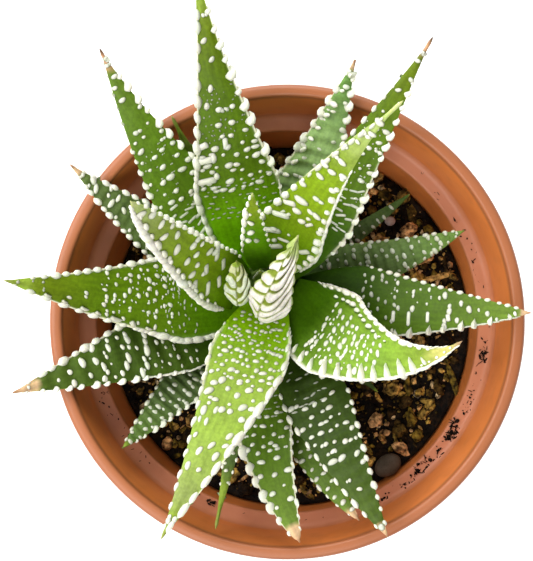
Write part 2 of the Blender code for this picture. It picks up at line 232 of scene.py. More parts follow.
class NodeSheet:
    """Adds and joins nodes of a material or a geometry tree."""

    def __init__(self, tree: bpy.types.NodeTree) -> None:
        """Keeps the tree that the nodes go to."""
        self.tree = tree

    def add(
        self, kind: str, inputs: dict[str | int, object] | None = None, **settings: object
    ) -> bpy.types.Node:
        """Adds a node of a kind, sets its properties and feeds its inputs."""
        node = self.tree.nodes.new(kind)
        for key, value in settings.items():
            setattr(node, key, value)
        for key, value in (inputs or {}).items():
            self.feed(node.inputs[key], value)
        return node

    def feed(self, target: Socket, value: object) -> None:
        """Joins an output to an input, or sets the input's fixed value."""
        if isinstance(value, Socket):
            self.tree.links.new(value, target)
        elif target.type == "RGBA":
            target.default_value = (*value, 1.0)
        else:
            target.default_value = value

    def noise(self, vector: Socket, scale: float, detail: float = 3.0) -> Socket:
        """Adds a noise texture on a vector and returns its value."""
        inputs = {"Vector": vector, "Scale": scale, "Detail": detail}
        return self.add("ShaderNodeTexNoise", inputs).outputs["Fac"]

    def spread(
        self, value: Socket, low: float, high: float, start: float = 0.3, end: float = 0.7
    ) -> Socket:
        """Maps a value between start and end to a range from low to high."""
        limits = {"From Min": start, "From Max": end, "To Min": low, "To Max": high}
        return self.add("ShaderNodeMapRange", {"Value": value, **limits}).outputs["Result"]

    def mix(self, share: Socket, first: Socket | Colour, second: Socket | Colour) -> Socket:
        """Mixes two colours, each a socket or a fixed colour, and returns the result."""
        inputs = {0: share, 6: first, 7: second}
        return self.add("ShaderNodeMix", inputs, data_type="RGBA").outputs[2]

    def vector(self, operation: str, first: Socket, second: Socket | Colour) -> bpy.types.Node:
        """Adds a vector maths node on two vectors."""
        return self.add("ShaderNodeVectorMath", {0: first, 1: second}, operation=operation)

    def gain(self, vector: Socket, *factors: Socket) -> Socket:
        """Multiplies a colour or a vector by values and returns the result."""
        for factor in factors:
            inputs = {0: vector, "Scale": factor}
            vector = self.add("ShaderNodeVectorMath", inputs, operation="SCALE").outputs[0]
        return vector

    def math(self, operation: str, first: Socket | float, second: Socket | float = 0.0) -> Socket:
        """Adds a maths node on two values and returns its result."""
        return self.add("ShaderNodeMath", {0: first, 1: second}, operation=operation).outputs[0]

    def ramp(self, value: Socket, stops: tuple[tuple[float, Colour], ...]) -> Socket:
        """Colours a value by a ramp of stops and returns the colour."""
        node = self.add("ShaderNodeValToRGB", {"Fac": value})
        elements = node.color_ramp.elements
        while len(elements) < len(stops):
            elements.new(0.5)
        for element, (place, colour) in zip(elements, stops):
            element.position = place
            element.color = (*colour, 1.0)
        return node.outputs["Color"]


class MaterialSheet(NodeSheet):
    """A material with a Principled shader and the nodes that feed it."""

    def __init__(self, name: str) -> None:
        """Makes the material, with the object's own coordinates at hand."""
        self.material = bpy.data.materials.new(name)
        self.material.use_nodes = True
        super().__init__(self.material.node_tree)
        self.place = self.add("ShaderNodeTexCoord").outputs["Object"]

    def attribute(self, name: str, output: str = "Fac") -> Socket:
        """Reads an attribute of the mesh."""
        return self.add("ShaderNodeAttribute", attribute_name=name).outputs[output]

    def cloud(
        self, scale: float, low: float, high: float, detail: float = 3.0, start: float = 0.3,
        end: float = 0.7,
    ) -> Socket:
        """Noise over the surface, spread to a range from low to high."""
        return self.spread(self.noise(self.place, scale, detail), low, high, start, end)

    def shade(self, **values: object) -> Material:
        """Feeds the shader, with _ for the spaces of an input's name."""
        shader = self.tree.nodes["Principled BSDF"]
        for key, value in values.items():
            self.feed(shader.inputs[key.replace("_", " ")], value)
        return self.material

    def finish(
        self, colour: Socket, rough: Socket | float, relief: tuple[float, float, float, float],
        **values: object,
    ) -> Material:
        """Feeds the shader with its usual inputs.

        Args:
            colour: the surface's colour.
            rough: its roughness.
            relief: the bump noise's scale and detail, its depth in metres and its strength.
            values: other shader values.

        Returns:
            The material.
        """
        scale, detail, depth, strength = relief
        height = self.noise(self.place, scale, detail)
        inputs = {"Strength": strength, "Distance": depth, "Height": height}
        normal = self.add("ShaderNodeBump", inputs).outputs["Normal"]
        return self.shade(Base_Color=colour, Roughness=rough, Normal=normal, **values)


# ------------------------------------------------------------------ finishes


@dataclass(frozen=True)
class PlasticFinish:
    """Satin moulded plastic of the pot, with the lip's and the ledge's places in metres."""

    name: str = "terracotta_plastic"
    colour: Colour = (0.69, 0.205, 0.045)
    faded: Colour = (0.73, 0.235, 0.065)
    worn: Colour = (0.24, 0.085, 0.04)
    dusty: Colour = (0.55, 0.205, 0.10)
    stained: Colour = (0.36, 0.11, 0.04)
    # Painted shade on the surfaces that face outward, away from the axis.
    outward_shade: Colour = (0.34, 0.10, 0.032)
    lip: float = 0.0935
    ledge: float = 0.0765
    ledge_radius: float = 0.0515

    def shares(self, sheet: MaterialSheet) -> tuple[Socket, Socket, Socket]:
        """How far the painted shade on outward-facing surfaces reaches, how worn the crown and how
        dusty the ledge.
        """
        across, along, height = sheet.add("ShaderNodeSeparateXYZ", {0: sheet.place}).outputs
        squares = (sheet.math("MULTIPLY", across, across), sheet.math("MULTIPLY", along, along))
        radius = sheet.math("SQRT", sheet.math("ADD", *squares))
        lip = sheet.spread(height, 0.0, 0.75, self.lip - 0.0014, self.lip + 0.0006)
        off = sheet.math("ABSOLUTE", sheet.math("SUBTRACT", height, self.ledge))
        ledge = sheet.spread(off, 1.0, 0.0, 0.0006, 0.0018)
        inside = sheet.math("LESS_THAN", radius, self.ledge_radius)
        # Painted shade: the more a surface faces outward from the axis, the more it takes the
        # shaded colour.
        level = sheet.vector("MULTIPLY", sheet.place, (1.0, 1.0, 0.0)).outputs[0]
        normal = sheet.add("ShaderNodeNewGeometry").outputs["Normal"]
        facing = sheet.vector("DOT_PRODUCT", level, normal).outputs["Value"]
        outside = sheet.spread(sheet.math("DIVIDE", facing, radius), 0.0, 0.75, 0.45, 1.0)
        return outside, lip, sheet.math("MULTIPLY", ledge, inside)

    def make(self) -> Material:
        """Returns the material, slightly clouded, with dusty crowns, fine stains and painted shade
        on its outward-facing surfaces.
        """
        sheet = MaterialSheet(self.name)
        colour = sheet.mix(sheet.cloud(35.0, 0.0, 0.6), self.colour, self.faded)
        shares = (*self.shares(sheet), sheet.cloud(240.0, 0.0, 0.3, 5.0, 0.5, 0.8))
        # The first tint is painted shade on outward-facing surfaces; then come the worn crown, the
        # dusty ledge and the stains.
        tints = (self.outward_shade, self.worn, self.dusty, self.stained)
        for share, tint in zip(shares, tints):
            colour = sheet.mix(share, colour, tint)
        return sheet.finish(
            colour, sheet.cloud(90.0, 0.32, 0.46), (1500.0, 2.0, 0.00004, 0.35),
            Specular_IOR_Level=0.42, Coat_Weight=0.06, Coat_Roughness=0.3,
        )


@dataclass(frozen=True)
class EarthFinish:
    """Peat, near black on the bed as painted shade, with crumbs of bark and grit, coloured by each
    one's own grain value.
    """

    name: str
    # The lowest stops are near black; the bed takes them as painted shade among the crumbs.
    stops: tuple[tuple[float, Colour], ...] = (
        (0.0, (0.004, 0.002, 0.001)), (0.22, (0.012, 0.006, 0.002)),
        (0.4, (0.06, 0.034, 0.007)), (0.55, (0.18, 0.12, 0.015)), (0.7, (0.36, 0.22, 0.05)),
        (0.82, (0.52, 0.28, 0.11)), (0.92, (0.55, 0.42, 0.22)), (1.0, (0.66, 0.60, 0.45)),
    )

    def make(self) -> Material:
        """Returns the material, each crumb mottled and rough."""
        sheet = MaterialSheet(self.name)
        colour = sheet.ramp(sheet.attribute("grain"), self.stops)
        mottle = sheet.cloud(900.0, 0.1, 1.9, 6.0, 0.34, 0.66)
        shadow = sheet.cloud(330.0, 0.3, 1.4, 3.0, 0.36, 0.62)
        return sheet.finish(
            sheet.gain(colour, mottle, shadow), sheet.cloud(300.0, 0.6, 0.95),
            (1600.0, 6.0, 0.0004, 0.8), Specular_IOR_Level=0.12,
        )


@dataclass(frozen=True)
class StoneFinish:
    """A smooth river stone."""

    name: str
    colour: Colour
    vein: Colour

    def make(self) -> Material:
        """Returns the material, softly clouded with fine specks."""
        sheet = MaterialSheet(self.name)
        colour = sheet.mix(sheet.cloud(320.0, 0.0, 1.0, 4.0), self.colour, self.vein)
        speck = sheet.cloud(2600.0, 0.0, 0.5, 2.0, 0.55, 0.75)
        colour = sheet.mix(speck, colour, tuple(0.4 * part for part in self.colour))
        return sheet.finish(
            colour, sheet.cloud(500.0, 0.4, 0.65), (1800.0, 3.0, 0.00008, 0.5),
            Specular_IOR_Level=0.15,
        )


@dataclass(frozen=True)
class SkinFinish:
    """The leaf's fleshy skin: its colour comes from the blade, with streaks and cells."""

    name: str
    gloss: float
    flesh: float = 0.12

    def make(self) -> Material:
        """Returns the material, streaked along the blade and lightly see-through."""
        sheet = MaterialSheet(self.name)
        inputs = {"Vector": sheet.attribute("blade", "Vector"), "Scale": (1.1, 0.1, 1.0)}
        stretched = sheet.add("ShaderNodeMapping", inputs).outputs[0]
        streak = sheet.spread(sheet.noise(stretched, 1.0, 4.0), 0.84, 1.16)
        cells = sheet.cloud(1400.0, 0.86, 1.14)
        clouds = sheet.cloud(130.0, 0.88, 1.12, 2.0)
        return sheet.finish(
            sheet.gain(sheet.attribute("skin", "Color"), streak, cells, clouds),
            sheet.cloud(700.0, self.gloss - 0.06, self.gloss + 0.08),
            (1100.0, 4.0, 0.00012, 0.5), Subsurface_Weight=self.flesh, Subsurface_Scale=0.002,
            Subsurface_Radius=(0.5, 0.8, 0.05), Specular_IOR_Level=0.13,
        )


@dataclass(frozen=True)
class PearlFinish:
    """The warts: pearly domes that fade at their foot into the skin's green, darkened there as
    painted shade.
    """

    name: str = "pearl_wart"
    pearl: Colour = (0.78, 0.82, 0.66)
    flushed: Colour = (0.80, 0.74, 0.63)

    def make(self) -> Material:
        """Returns the material, glossy and slightly see-through."""
        sheet = MaterialSheet(self.name)
        # The foot's colour is the skin's, darkened as painted shade round the wart.
        foot = sheet.attribute("foot", "Color")
        white = sheet.mix(sheet.cloud(160.0, 0.0, 0.8, 2.0), self.pearl, self.flushed)
        milky = sheet.mix(sheet.attribute("milk"), foot, white)
        return sheet.finish(
            sheet.mix(sheet.attribute("pearl"), foot, milky), sheet.cloud(900.0, 0.26, 0.4),
            (1700.0, 2.0, 0.00008, 0.4), Subsurface_Weight=0.2, Subsurface_Scale=0.0012,
            Subsurface_Radius=(0.7, 0.8, 0.4), Specular_IOR_Level=0.5,
        )


@dataclass(frozen=True)
class StemFinish:
    """The short stem between the leaf bases."""

    name: str = "stem_skin"
    colour: Colour = (0.07, 0.15, 0.015)
    dry: Colour = (0.12, 0.15, 0.03)

    def make(self) -> Material:
        """Returns the material, green with dry patches."""
        sheet = MaterialSheet(self.name)
        colour = sheet.mix(sheet.cloud(260.0, 0.0, 1.0, 4.0), self.colour, self.dry)
        return sheet.finish(colour, 0.6, (900.0, 3.0, 0.0002, 0.6))


@dataclass(frozen=True)
class ToneColours:
    """One leaf tone: its colours at the base, in the middle, near the tip and behind.

    The factor after gloss darkens the skin's colour at a wart's foot, as painted shade round
    the wart, foot_pale pales it there, and green_base is the share of the length at which the
    base's colour ends.
    """

    base: Colour
    blade: Colour
    far: Colour
    back: Colour
    gloss: float
    # Darkens the skin at a wart's foot, as painted shade.
    foot_shade: float
    foot_pale: float = 0.0
    green_base: float = 0.4

    def at(self, shares: Array, lower: Array) -> Array:
        """The skin's colour at shares of the length, on the upper or the lower face."""
        colour = np.broadcast_to(np.array(self.base), (len(shares), 3))
        start, end = self.green_base - 0.28, self.green_base
        colour = blend_colours(colour, self.blade, ease(shares, start, end))
        colour = blend_colours(colour, self.far, ease(shares, 0.55, 0.95))
        return blend_colours(colour, self.back, np.where(lower, 0.9, 0.0))


class Tone(Enum):
    """The leaf tones, from the pale heart to the old grey leaves."""

    HEART = ToneColours((0.20, 0.34, 0.015), (0.30, 0.42, 0.05), (0.52, 0.54, 0.22),
                        (0.34, 0.42, 0.06), 0.46, 0.4)
    YOUNG = ToneColours((0.15, 0.30, 0.002), (0.27, 0.42, 0.012), (0.42, 0.52, 0.10),
                        (0.20, 0.33, 0.03), 0.42, 0.45)
    BRIGHT = ToneColours((0.085, 0.22, 0.0008), (0.10, 0.19, 0.002), (0.14, 0.20, 0.004),
                         (0.10, 0.20, 0.01), 0.42, 0.45)
    MID = ToneColours((0.045, 0.12, 0.0008), (0.075, 0.145, 0.006), (0.12, 0.20, 0.018),
                      (0.09, 0.17, 0.02), 0.44, 0.55, 0.03)
    DARK = ToneColours((0.038, 0.10, 0.002), (0.06, 0.11, 0.010), (0.075, 0.125, 0.014),
                       (0.07, 0.125, 0.02), 0.48, 0.8, 0.1)
    PALE = ToneColours((0.18, 0.28, 0.08), (0.23, 0.34, 0.12), (0.10, 0.20, 0.04),
                       (0.15, 0.24, 0.08), 0.52, 0.8, 0.1)
    GREY = ToneColours((0.06, 0.115, 0.025), (0.08, 0.125, 0.035), (0.095, 0.165, 0.03),
                       (0.08, 0.12, 0.035), 0.52, 0.9, 0.12)


class Tip(Enum):
    """How a leaf ends: colour near its end, colour at its point, and how crisp the change is."""

    GREEN = ((0.20, 0.28, 0.03), (0.24, 0.26, 0.06), 0.5)
    PALE = ((0.36, 0.45, 0.13), (0.48, 0.50, 0.22), 0.8)
    TAN = ((0.55, 0.36, 0.20), (0.34, 0.17, 0.09), 0.12)
    BROWN = ((0.50, 0.27, 0.14), (0.05, 0.025, 0.015), 0.12)
    GOLD = ((0.48, 0.45, 0.13), (0.38, 0.24, 0.13), 0.5)


# The colours of the veil over a young blade, of a pale margin, and between the heart leaves'
# rolls; the grey-green at the rolls' foot, partly their own and partly painted shade towards
# the grooves; the painted shade in the grooves on one side of the keel; and what a wart's
# foot pales towards.
VEIL = (0.80, 0.88, 0.62)
MARGIN = (0.72, 0.70, 0.52)
GROOVE = (0.15, 0.20, 0.012)
ROLL_FOOT = (0.50, 0.50, 0.30)
ROLL_SHADE = (0.04, 0.035, 0.012)
PALE_FOOT = (0.8, 0.85, 0.7)


# ------------------------------------------------------------------ leaf forms


@dataclass(frozen=True)
class LeafForm:
    """One leaf's form, as its solid has it: angles in degrees, lengths in millimetres.

    heading is the side of the stem that it grows from and lift is its height above the
    crown. It leaves at heading + turn, swings by sweep and rises at rise_base to rise_tip.
    """

    name: str
    heading: float
    lift: float
    length: float
    width: float
    thickness: float
    rise_base: float
    rise_tip: float
    start: float
    turn: float = 0.0
    sweep: float = 0.0
    bow: float = 1.0
    taper: float = 1.0
    widest: float = 0.36
    foot: float = 0.5
    cup: float = 0.25
    point: float = 1.2

    @cached_property
    def spine(self) -> tuple[Array, Array, Array, Array]:
        """The shares, side angles, directions and centres along the leaf."""
        grid = np.linspace(0.0, 1.0, CURVE_STEPS + 1)
        rise = np.radians(self.rise_base + (self.rise_tip - self.rise_base) * grid)
        swing = np.radians(self.heading + self.turn + self.sweep * grid**self.bow)
        along = np.stack(
            [np.cos(rise) * np.cos(swing), np.cos(rise) * np.sin(swing), np.sin(rise)], 1
        )
        steps = (along[:-1] + along[1:]) / 2 * self.length / CURVE_STEPS
        side = math.radians(self.heading)
        foot = CROWN + (self.start * math.cos(side), self.start * math.sin(side), self.lift)
        return grid, swing, along, foot + np.vstack([np.zeros(3), np.cumsum(steps, 0)])

    def frames(self, shares: Array) -> tuple[Array, Array, Array]:
        """Centre, side and up vectors at shares of the length."""
        grid, swing, along, centres = self.spine
        centre, ahead = (
            np.stack([np.interp(shares, grid, rows[:, axis]) for axis in range(3)], -1)
            for rows in (centres, along)
        )
        angle = np.interp(shares, grid, swing)
        side = np.stack([-np.sin(angle), np.cos(angle), np.zeros_like(angle)], -1)
        return centre, side, np.cross(unit(ahead), side)

    def half_width(self, shares: Array) -> Array:
        """Half the width at shares of the length, drawn in to a fine point at the end."""
        swell = np.sin(np.pi / 2 * np.minimum(shares / self.widest, 1.0))
        inner = self.foot + (1 - self.foot) * swell
        past = np.clip((shares - self.widest) / (1 - self.widest), 0.0, 1.0)
        profile = np.where(shares < self.widest, inner, (1 - past) ** self.taper)
        point = 1 - 0.75 * ease(shares, 1 - self.point / self.length, 1.0)
        return np.maximum(self.width / 2 * profile, 0.4) * point

    def depth(self, shares: Array) -> Array:
        """The depth below the edges at shares of the length."""
        swell = 0.85 + 0.15 * np.sin(np.pi * np.minimum(shares / 0.5, 1.0))
        fade = 1 - np.clip((shares - 0.3) / 0.7, 0.0, 1.0) ** 1.3
        point = 1 - 0.6 * ease(shares, 1 - self.point / self.length, 1.0)
        return np.maximum(self.thickness * swell * fade, 0.7) * point

    def surface(self, shares: Array, columns: Array, lower: Array | bool) -> Array:
        """Points on the faces of the leaf.

        Args:
            shares: shares of the length, from 0 at the stem to 1.
            columns: from -1 at the left edge to 1 at the right one, looking to the tip.
            lower: whether each is on the lower face.

        Returns:
            The points, in millimetres.
        """
        centre, side, up = self.frames(shares)
        depth = self.depth(shares)
        bend = 1 - columns**2
        edge = 0.11 * depth * np.sqrt(np.maximum(bend, 0.0))
        under = -0.95 * depth * (1 - np.abs(columns) ** 2.2) - edge
        over = depth * (0.6 * shares - self.cup) * bend + edge
        lift = np.where(lower, under, over)
        reach = self.half_width(shares) * columns
        return centre - side * reach[..., None] + up * lift[..., None]

    def seats(
        self, shares: Array, columns: Array, lower: bool, step: float = 0.006,
        across: float = 0.04, widest: float = 0.94,
    ) -> tuple[Array, Array, Array, Array]:
        """Points on a face with the directions ahead, to the right and outward there."""
        here = self.surface(shares, columns, lower)
        ahead = self.surface(np.minimum(shares + step, 1), columns, lower)
        ahead = ahead - self.surface(np.maximum(shares - step, 0), columns, lower)
        inner = np.clip(columns, -widest, widest)
        right = self.surface(shares, inner + across, lower)
        right = right - self.surface(shares, inner - across, lower)
        out = np.cross(right, ahead) * (-1.0 if lower else 1.0)
        return here, unit(ahead), unit(right), unit(out)


# ------------------------------------------------------------------ repeated shapes


class Templates:
    """Small closed shapes that a geometry tree repeats, in the order of their names."""

    def __init__(self, name: str) -> None:
        """Makes the collection that holds one object for each shape."""
        self.collection = bpy.data.collections.new(name)

    def keep(self, mesh: Mesh) -> None:
        """Adds one shape."""
        self.collection.objects.link(bpy.data.objects.new(mesh.name, mesh))

    def remove(self) -> None:
        """Takes the shapes away once every piece is made."""
        for obj in list(self.collection.objects):
            mesh = obj.data
            bpy.data.objects.remove(obj)
            bpy.data.meshes.remove(mesh)
        bpy.data.collections.remove(self.collection)


class Shape(IntEnum):
    """The wart shapes, in the order of their templates."""

    GRAIN = 0
    BEAD = 1
    BAR = 2
    PEARL = 3
    TOOTH = 4
    HOOK = 5


class WartShapes(Templates):
    """The warts: grains, beads, bars, pearls, teeth and hooks."""

    def __init__(self) -> None:
        """Makes one template for each shape, from rings of width, height and pearliness."""
        super().__init__("wart_shapes")
        rim = ((1.0, -0.55, 0.0), (1.14, 0.02, 0.0), (0.97, 0.36, 0.75), (0.62, 0.82, 1.0))
        low = ((1.0, -0.5, 0.0), (1.12, 0.05, 0.0), (0.74, 0.68, 1.0))
        whole = ((0.62, -0.78, 0.7), (1.0, 0.0, 1.0), (0.66, 0.74, 1.0))
        self.add(Shape.GRAIN, low, self.disc(7))
        self.add(Shape.BEAD, rim, self.disc(10))
        self.add(Shape.BAR, rim, self.stadium(14))
        self.add(Shape.PEARL, whole, self.disc(9), is_round=True)
        self.add(Shape.TOOTH, whole, self.drop(12), is_round=True)
        self.add(Shape.HOOK, rim, self.stadium(16, 0.9))

    @staticmethod
    def disc(sides: int) -> Array:
        """A round outline, slightly uneven."""
        turn = circle(sides)
        reach = 1 + 0.07 * np.sin(2 * turn + 0.6) + 0.05 * np.sin(3 * turn)
        return np.stack([reach * np.cos(turn), reach * np.sin(turn)], 1)

    @staticmethod
    def stadium(sides: int, bend: float = 0.15) -> Array:
        """An outline with round ends, three times as long as wide, bent by some half widths."""
        turn = circle(sides) + np.pi / sides
        ends = np.sign(np.cos(turn)) * 2 / 3 + np.cos(turn) / 3
        return np.stack([ends, np.sin(turn) + bend * (0.4 - ends**2)], 1)

    @staticmethod
    def drop(sides: int) -> Array:
        """An outline with a wide round foot behind and a point ahead."""
        turn = circle(sides)
        return np.stack([np.cos(turn), np.sin(turn) * np.abs(np.sin(turn / 2)) ** 2.2], 1)

    def add(
        self, shape: Shape, rings: tuple[Triple, ...], outline: Array, is_round: bool = False
    ) -> None:
        """Builds one template.

        Args:
            shape: which one it is.
            rings: the width, height and pearliness of each ring, from below.
            outline: the ring's outline.
            is_round: whether it is round below too, and not flat.
        """
        sides = len(outline)
        points = [(width * x, width * y, height) for width, height, _ in rings
                  for x, y in outline]
        pearl = [white for _, _, white in rings for _ in outline]
        faces = hoops(len(rings) - 1, sides)
        top, last = len(points), (len(rings) - 1) * sides
        points.append((0.0, 0.0, 1.0))
        pearl.append(1.0)
        faces += [(last + i, last + (i + 1) % sides, top) for i in range(sides)]
        if is_round:
            points.append((0.0, 0.0, -1.0))
            pearl.append(0.7)
            faces += [((i + 1) % sides, i, top + 1) for i in range(sides)]
        else:
            faces.append(tuple(reversed(range(sides))))
        mesh = mesh_from(f"{int(shape)}_{shape.name.lower()}", np.array(points) / MM, faces)
        store(mesh, "pearl", "FLOAT", pearl)
        self.keep(mesh)


class ShapeTree(NodeSheet):
    """A geometry tree that repeats templates and ends in real geometry with its finish."""

    SIZES: tuple[str, ...] = ()

    def __init__(self, name: str) -> None:
        """Builds the tree with its named inputs."""
        super().__init__(bpy.data.node_groups.new(name, "GeometryNodeTree"))
        face = self.tree.interface
        kinds = {"Geometry": "Geometry", "Shapes": "Collection"}
        kinds |= dict.fromkeys(self.SIZES, "Float") | {"Seed": "Int", "Finish": "Material"}
        for label, kind in kinds.items():
            face.new_socket(label, in_out="INPUT", socket_type=f"NodeSocket{kind}")
        face.new_socket("Geometry", in_out="OUTPUT", socket_type="NodeSocketGeometry")
        self.start = self.add("NodeGroupInput").outputs
        whole = self.add("GeometryNodeRealizeInstances", {0: self.copies()}).outputs[0]
        inputs = {"Geometry": whole, "Material": self.start["Finish"]}
        self.add("NodeGroupOutput", {0: self.add("GeometryNodeSetMaterial", inputs).outputs[0]})

    def copies(self) -> Socket:
        """Lays out the nodes that put the copies, and returns the copies."""
        raise NotImplementedError

    def read(self, label: str, kind: str) -> Socket:
        """Reads an attribute of the points."""
        node = self.add("GeometryNodeInputNamedAttribute", {"Name": label}, data_type=kind)
        return next(s for s in node.outputs if s.enabled and s.name == "Attribute")

    def chance(self, kind: str, low: object, high: object, seed: Socket) -> Socket:
        """A random value for each point, of kind FLOAT_VECTOR, FLOAT or INT."""
        index = ("FLOAT_VECTOR", "FLOAT", "INT").index(kind)
        inputs = {2 * index: low, 2 * index + 1: high, "Seed": seed}
        return self.add("FunctionNodeRandomValue", inputs, data_type=kind).outputs[index]

    def put(self, points: Socket, index: Socket, turn: Socket, scale: Socket) -> Socket:
        """Puts a template on each point, by its index, turn and scale."""
        inputs = {"Collection": self.start["Shapes"], "Separate Children": True,
                  "Reset Children": True}
        shapes = self.add("GeometryNodeCollectionInfo", inputs).outputs[0]
        inputs = {"Points": points, "Instance": shapes, "Pick Instance": True,
                  "Instance Index": index, "Rotation": turn, "Scale": scale}
        return self.add("GeometryNodeInstanceOnPoints", inputs).outputs[0]

    def run(
        self, name: str, source: Mesh, shapes: Templates, finish: Material, seed: int,
        sizes: dict[str, float],
    ) -> Piece:
        """Runs the tree on a mesh, which it uses up.

        Args:
            name: the name of the new piece.
            source: the mesh that the tree starts from.
            shapes: the templates that it repeats.
            finish: the copies' material.
            seed: the seed of its random values.
            sizes: values for its inputs named in SIZES.

        Returns:
            The piece, a plain mesh.
        """
        carrier = show(source)
        modifier = carrier.modifiers.new("tree", "NODES")
        modifier.node_group = self.tree
        sockets = {item.name: item.identifier for item in self.tree.interface.items_tree
                   if item.in_out == "INPUT"}
        values = {"Shapes": shapes.collection, "Finish": finish, "Seed": seed, **sizes}
        for label, value in values.items():
            modifier[sockets[label]] = value
        graph = bpy.context.evaluated_depsgraph_get()
        mesh = bpy.data.meshes.new_from_object(
            carrier.evaluated_get(graph), preserve_all_data_layers=True, depsgraph=graph
        )
        mesh.name = name
        for label in ("size", "turn", "shape"):
            if label in mesh.attributes:
                mesh.attributes.remove(mesh.attributes[label])
        bpy.data.objects.remove(carrier)
        bpy.data.meshes.remove(source)
        mesh.shade_smooth()
        return show(mesh)


class ScatterTree(ShapeTree):
    """Puts a shape on each point, by the turn, size and shape stored there."""

    SIZES = ("Width", "Height", "Variation")

    def copies(self) -> Socket:
        """Lays out the nodes that put the copies, and returns the copies."""
        start = self.start
        inputs = {"X": start["Width"], "Y": start["Width"], "Z": start["Height"]}
        proportion = self.add("ShaderNodeCombineXYZ", inputs).outputs[0]
        sized = self.vector("MULTIPLY", self.read("size", "FLOAT_VECTOR"), proportion)
        limits = (self.math(way, 1.0, start["Variation"]) for way in ("SUBTRACT", "ADD"))
        scale = self.gain(sized.outputs[0], self.chance("FLOAT", *limits, start["Seed"]))
        shape, turn = self.read("shape", "INT"), self.read("turn", "QUATERNION")
        return self.put(start["Geometry"], shape, turn, scale)


class CrumbTree(ShapeTree):
    """Scatters crumbs over the open soil, each with its own grain value."""

    SIZES = ("Spacing", "Density", "Smallest", "Largest", "Darkest", "Palest")

    def copies(self) -> Socket:
        """Lays out the nodes that put the copies, and returns the copies."""
        start = self.start
        inputs = {
            "Mesh": start["Geometry"], "Distance Min": start["Spacing"],
            "Density Max": start["Density"], "Density Factor": self.read("open", "FLOAT"),
            "Seed": start["Seed"],
        }
        points = self.add(
            "GeometryNodeDistributePointsOnFaces", inputs, distribute_method="POISSON"
        )
        limits = (
            ("FLOAT_VECTOR", (0.0,) * 3, (math.tau,) * 3),
            ("FLOAT", start["Smallest"], start["Largest"]),
            ("INT", 0, len(CrumbShapes.PROPORTIONS) - 1),
            ("FLOAT", start["Darkest"], start["Palest"]),
        )
        turn, size, index, tint = (
            self.chance(*limit, self.math("ADD", start["Seed"], 11.0 * (step + 1)))
            for step, limit in enumerate(limits)
        )
        put = self.put(points.outputs["Points"], index, turn, size)
        tinted = self.add("GeometryNodeStoreNamedAttribute", {"Geometry": put, "Name": "grain"},
                          data_type="FLOAT", domain="INSTANCE")
        value = next(s for s in tinted.inputs if s.enabled and s.name == "Value")
        self.feed(value, tint)
        return tinted.outputs[0]


class CrumbShapes(Templates):
    """A few lumps and bark chips that are repeated over the soil."""

    PROPORTIONS = (
        (1.0, 0.85, 0.75), (0.9, 0.8, 0.9), (1.3, 0.7, 0.6), (1.7, 0.6, 0.35),
        (1.0, 1.0, 0.5), (2.0, 0.42, 0.4),
    )

    def __init__(self, subdivisions: int) -> None:
        """Makes the lumps, with finer faces for more subdivisions."""
        super().__init__("crumb_shapes")
        for index, proportion in enumerate(self.PROPORTIONS):
            def lump(point: Vector) -> Vector:
                """Moves a ball's point to the lump's surface."""
                spot = point + Vector((7.0 * index, 0, 0))
                swell = 1 + 0.5 * noise.noise(spot * 1.1) + 0.3 * noise.noise(spot * 2.7)
                return Vector([c * part * swell for c, part in zip(point, proportion)])
            self.keep(ball_mesh(f"{index}_crumb", subdivisions, lump))


@dataclass
class Seats:
    """The places where shapes are put, each with its turn, size, shape and other values."""

    kinds: dict[str, str]
    rows: list[dict[str, object]] = field(default_factory=list)

    def add(self, place: Array, turn: Matrix, size: Triple, shape: int, **values: object) -> None:
        """Adds a place, with the shape's half sizes and height, all in millimetres."""
        size = np.array(size) * MM
        turn = tuple(turn.to_quaternion())
        self.rows.append({"place": place, "turn": turn, "size": size, "shape": shape, **values})

    def mesh(self, name: str) -> Mesh:
        """Makes a mesh with a point at each place, where its values are stored."""
        mesh = mesh_from(name, [row["place"] for row in self.rows], [], smooth=False)
        kinds = {"turn": "QUATERNION", "size": "FLOAT_VECTOR", "shape": "INT", **self.kinds}
        for label, kind in kinds.items():
            store(mesh, label, kind, [row[label] for row in self.rows])
        return mesh


# ------------------------------------------------------------------ warts


# The warts' relative sizes and how much they vary further; the height of a row's wart and of
# a single one to its half width; the column of an edge's pearls and the share of the length
# over which they grow smaller to its ends; and the first and the last share for a row's wart.
SIZE_CLASSES = (0.55, 0.75, 0.9, 1.0, 1.0, 1.15, 1.35)
WART_VARIATION = 0.06
DOME = 0.65
MARK_DOME = 0.75
EDGE_COLUMN = 0.985
FADE_SHARE = 0.105
FIRST_SHARE = 0.03
LAST_SHARE = 0.985


@dataclass(frozen=True)
class Band:
    """Rows of warts across a face, between two shares of the leaf's length.

    pitch is the distance between rows and gap the one between warts, length and width are
    half sizes, all in millimetres. slant turns a wart from the tip's direction, by spread more
    or less. skip is the share of places left out and twins that of doubled ones. arc and tilt
    bend and lean the rows, and reach, low and high limit them to a part of the width.
    """

    first: float
    last: float
    pitch: float
    gap: float
    length: float
    width: float
    slant: float = 90.0
    spread: float = 14.0
    skip: float = 0.0
    shape: Shape = Shape.BEAD
    reach: float = 0.8
    milk: float = 1.0
    arc: float = 0.0
    tilt: float = 0.0
    low: float = -1.0
    high: float = 1.0
    twins: float = 0.14


@dataclass(frozen=True)
class Fringe:
    """Pearls or teeth along one edge, between two shares of the leaf's length.

    inward turns each from the tip's direction towards the leaf's middle, inset is how far
    inside the edge it sits, in millimetres, and lean tips it outward over the edge.
    """

    first: float
    last: float
    pitch: float
    length: float
    width: float
    inward: float = 0.0
    inset: float = 0.0
    shape: Shape = Shape.PEARL
    spread: float = 10.0
    milk: float = 1.0
    skip: float = 0.0
    lean: float = 0.55


@dataclass(frozen=True)
class Mark:
    """One wart of its own: its share and column, half sizes in millimetres, and its turn."""

    share: float
    column: float
    length: float
    width: float
    slant: float
    shape: Shape = Shape.BAR
    milk: float = 1.0


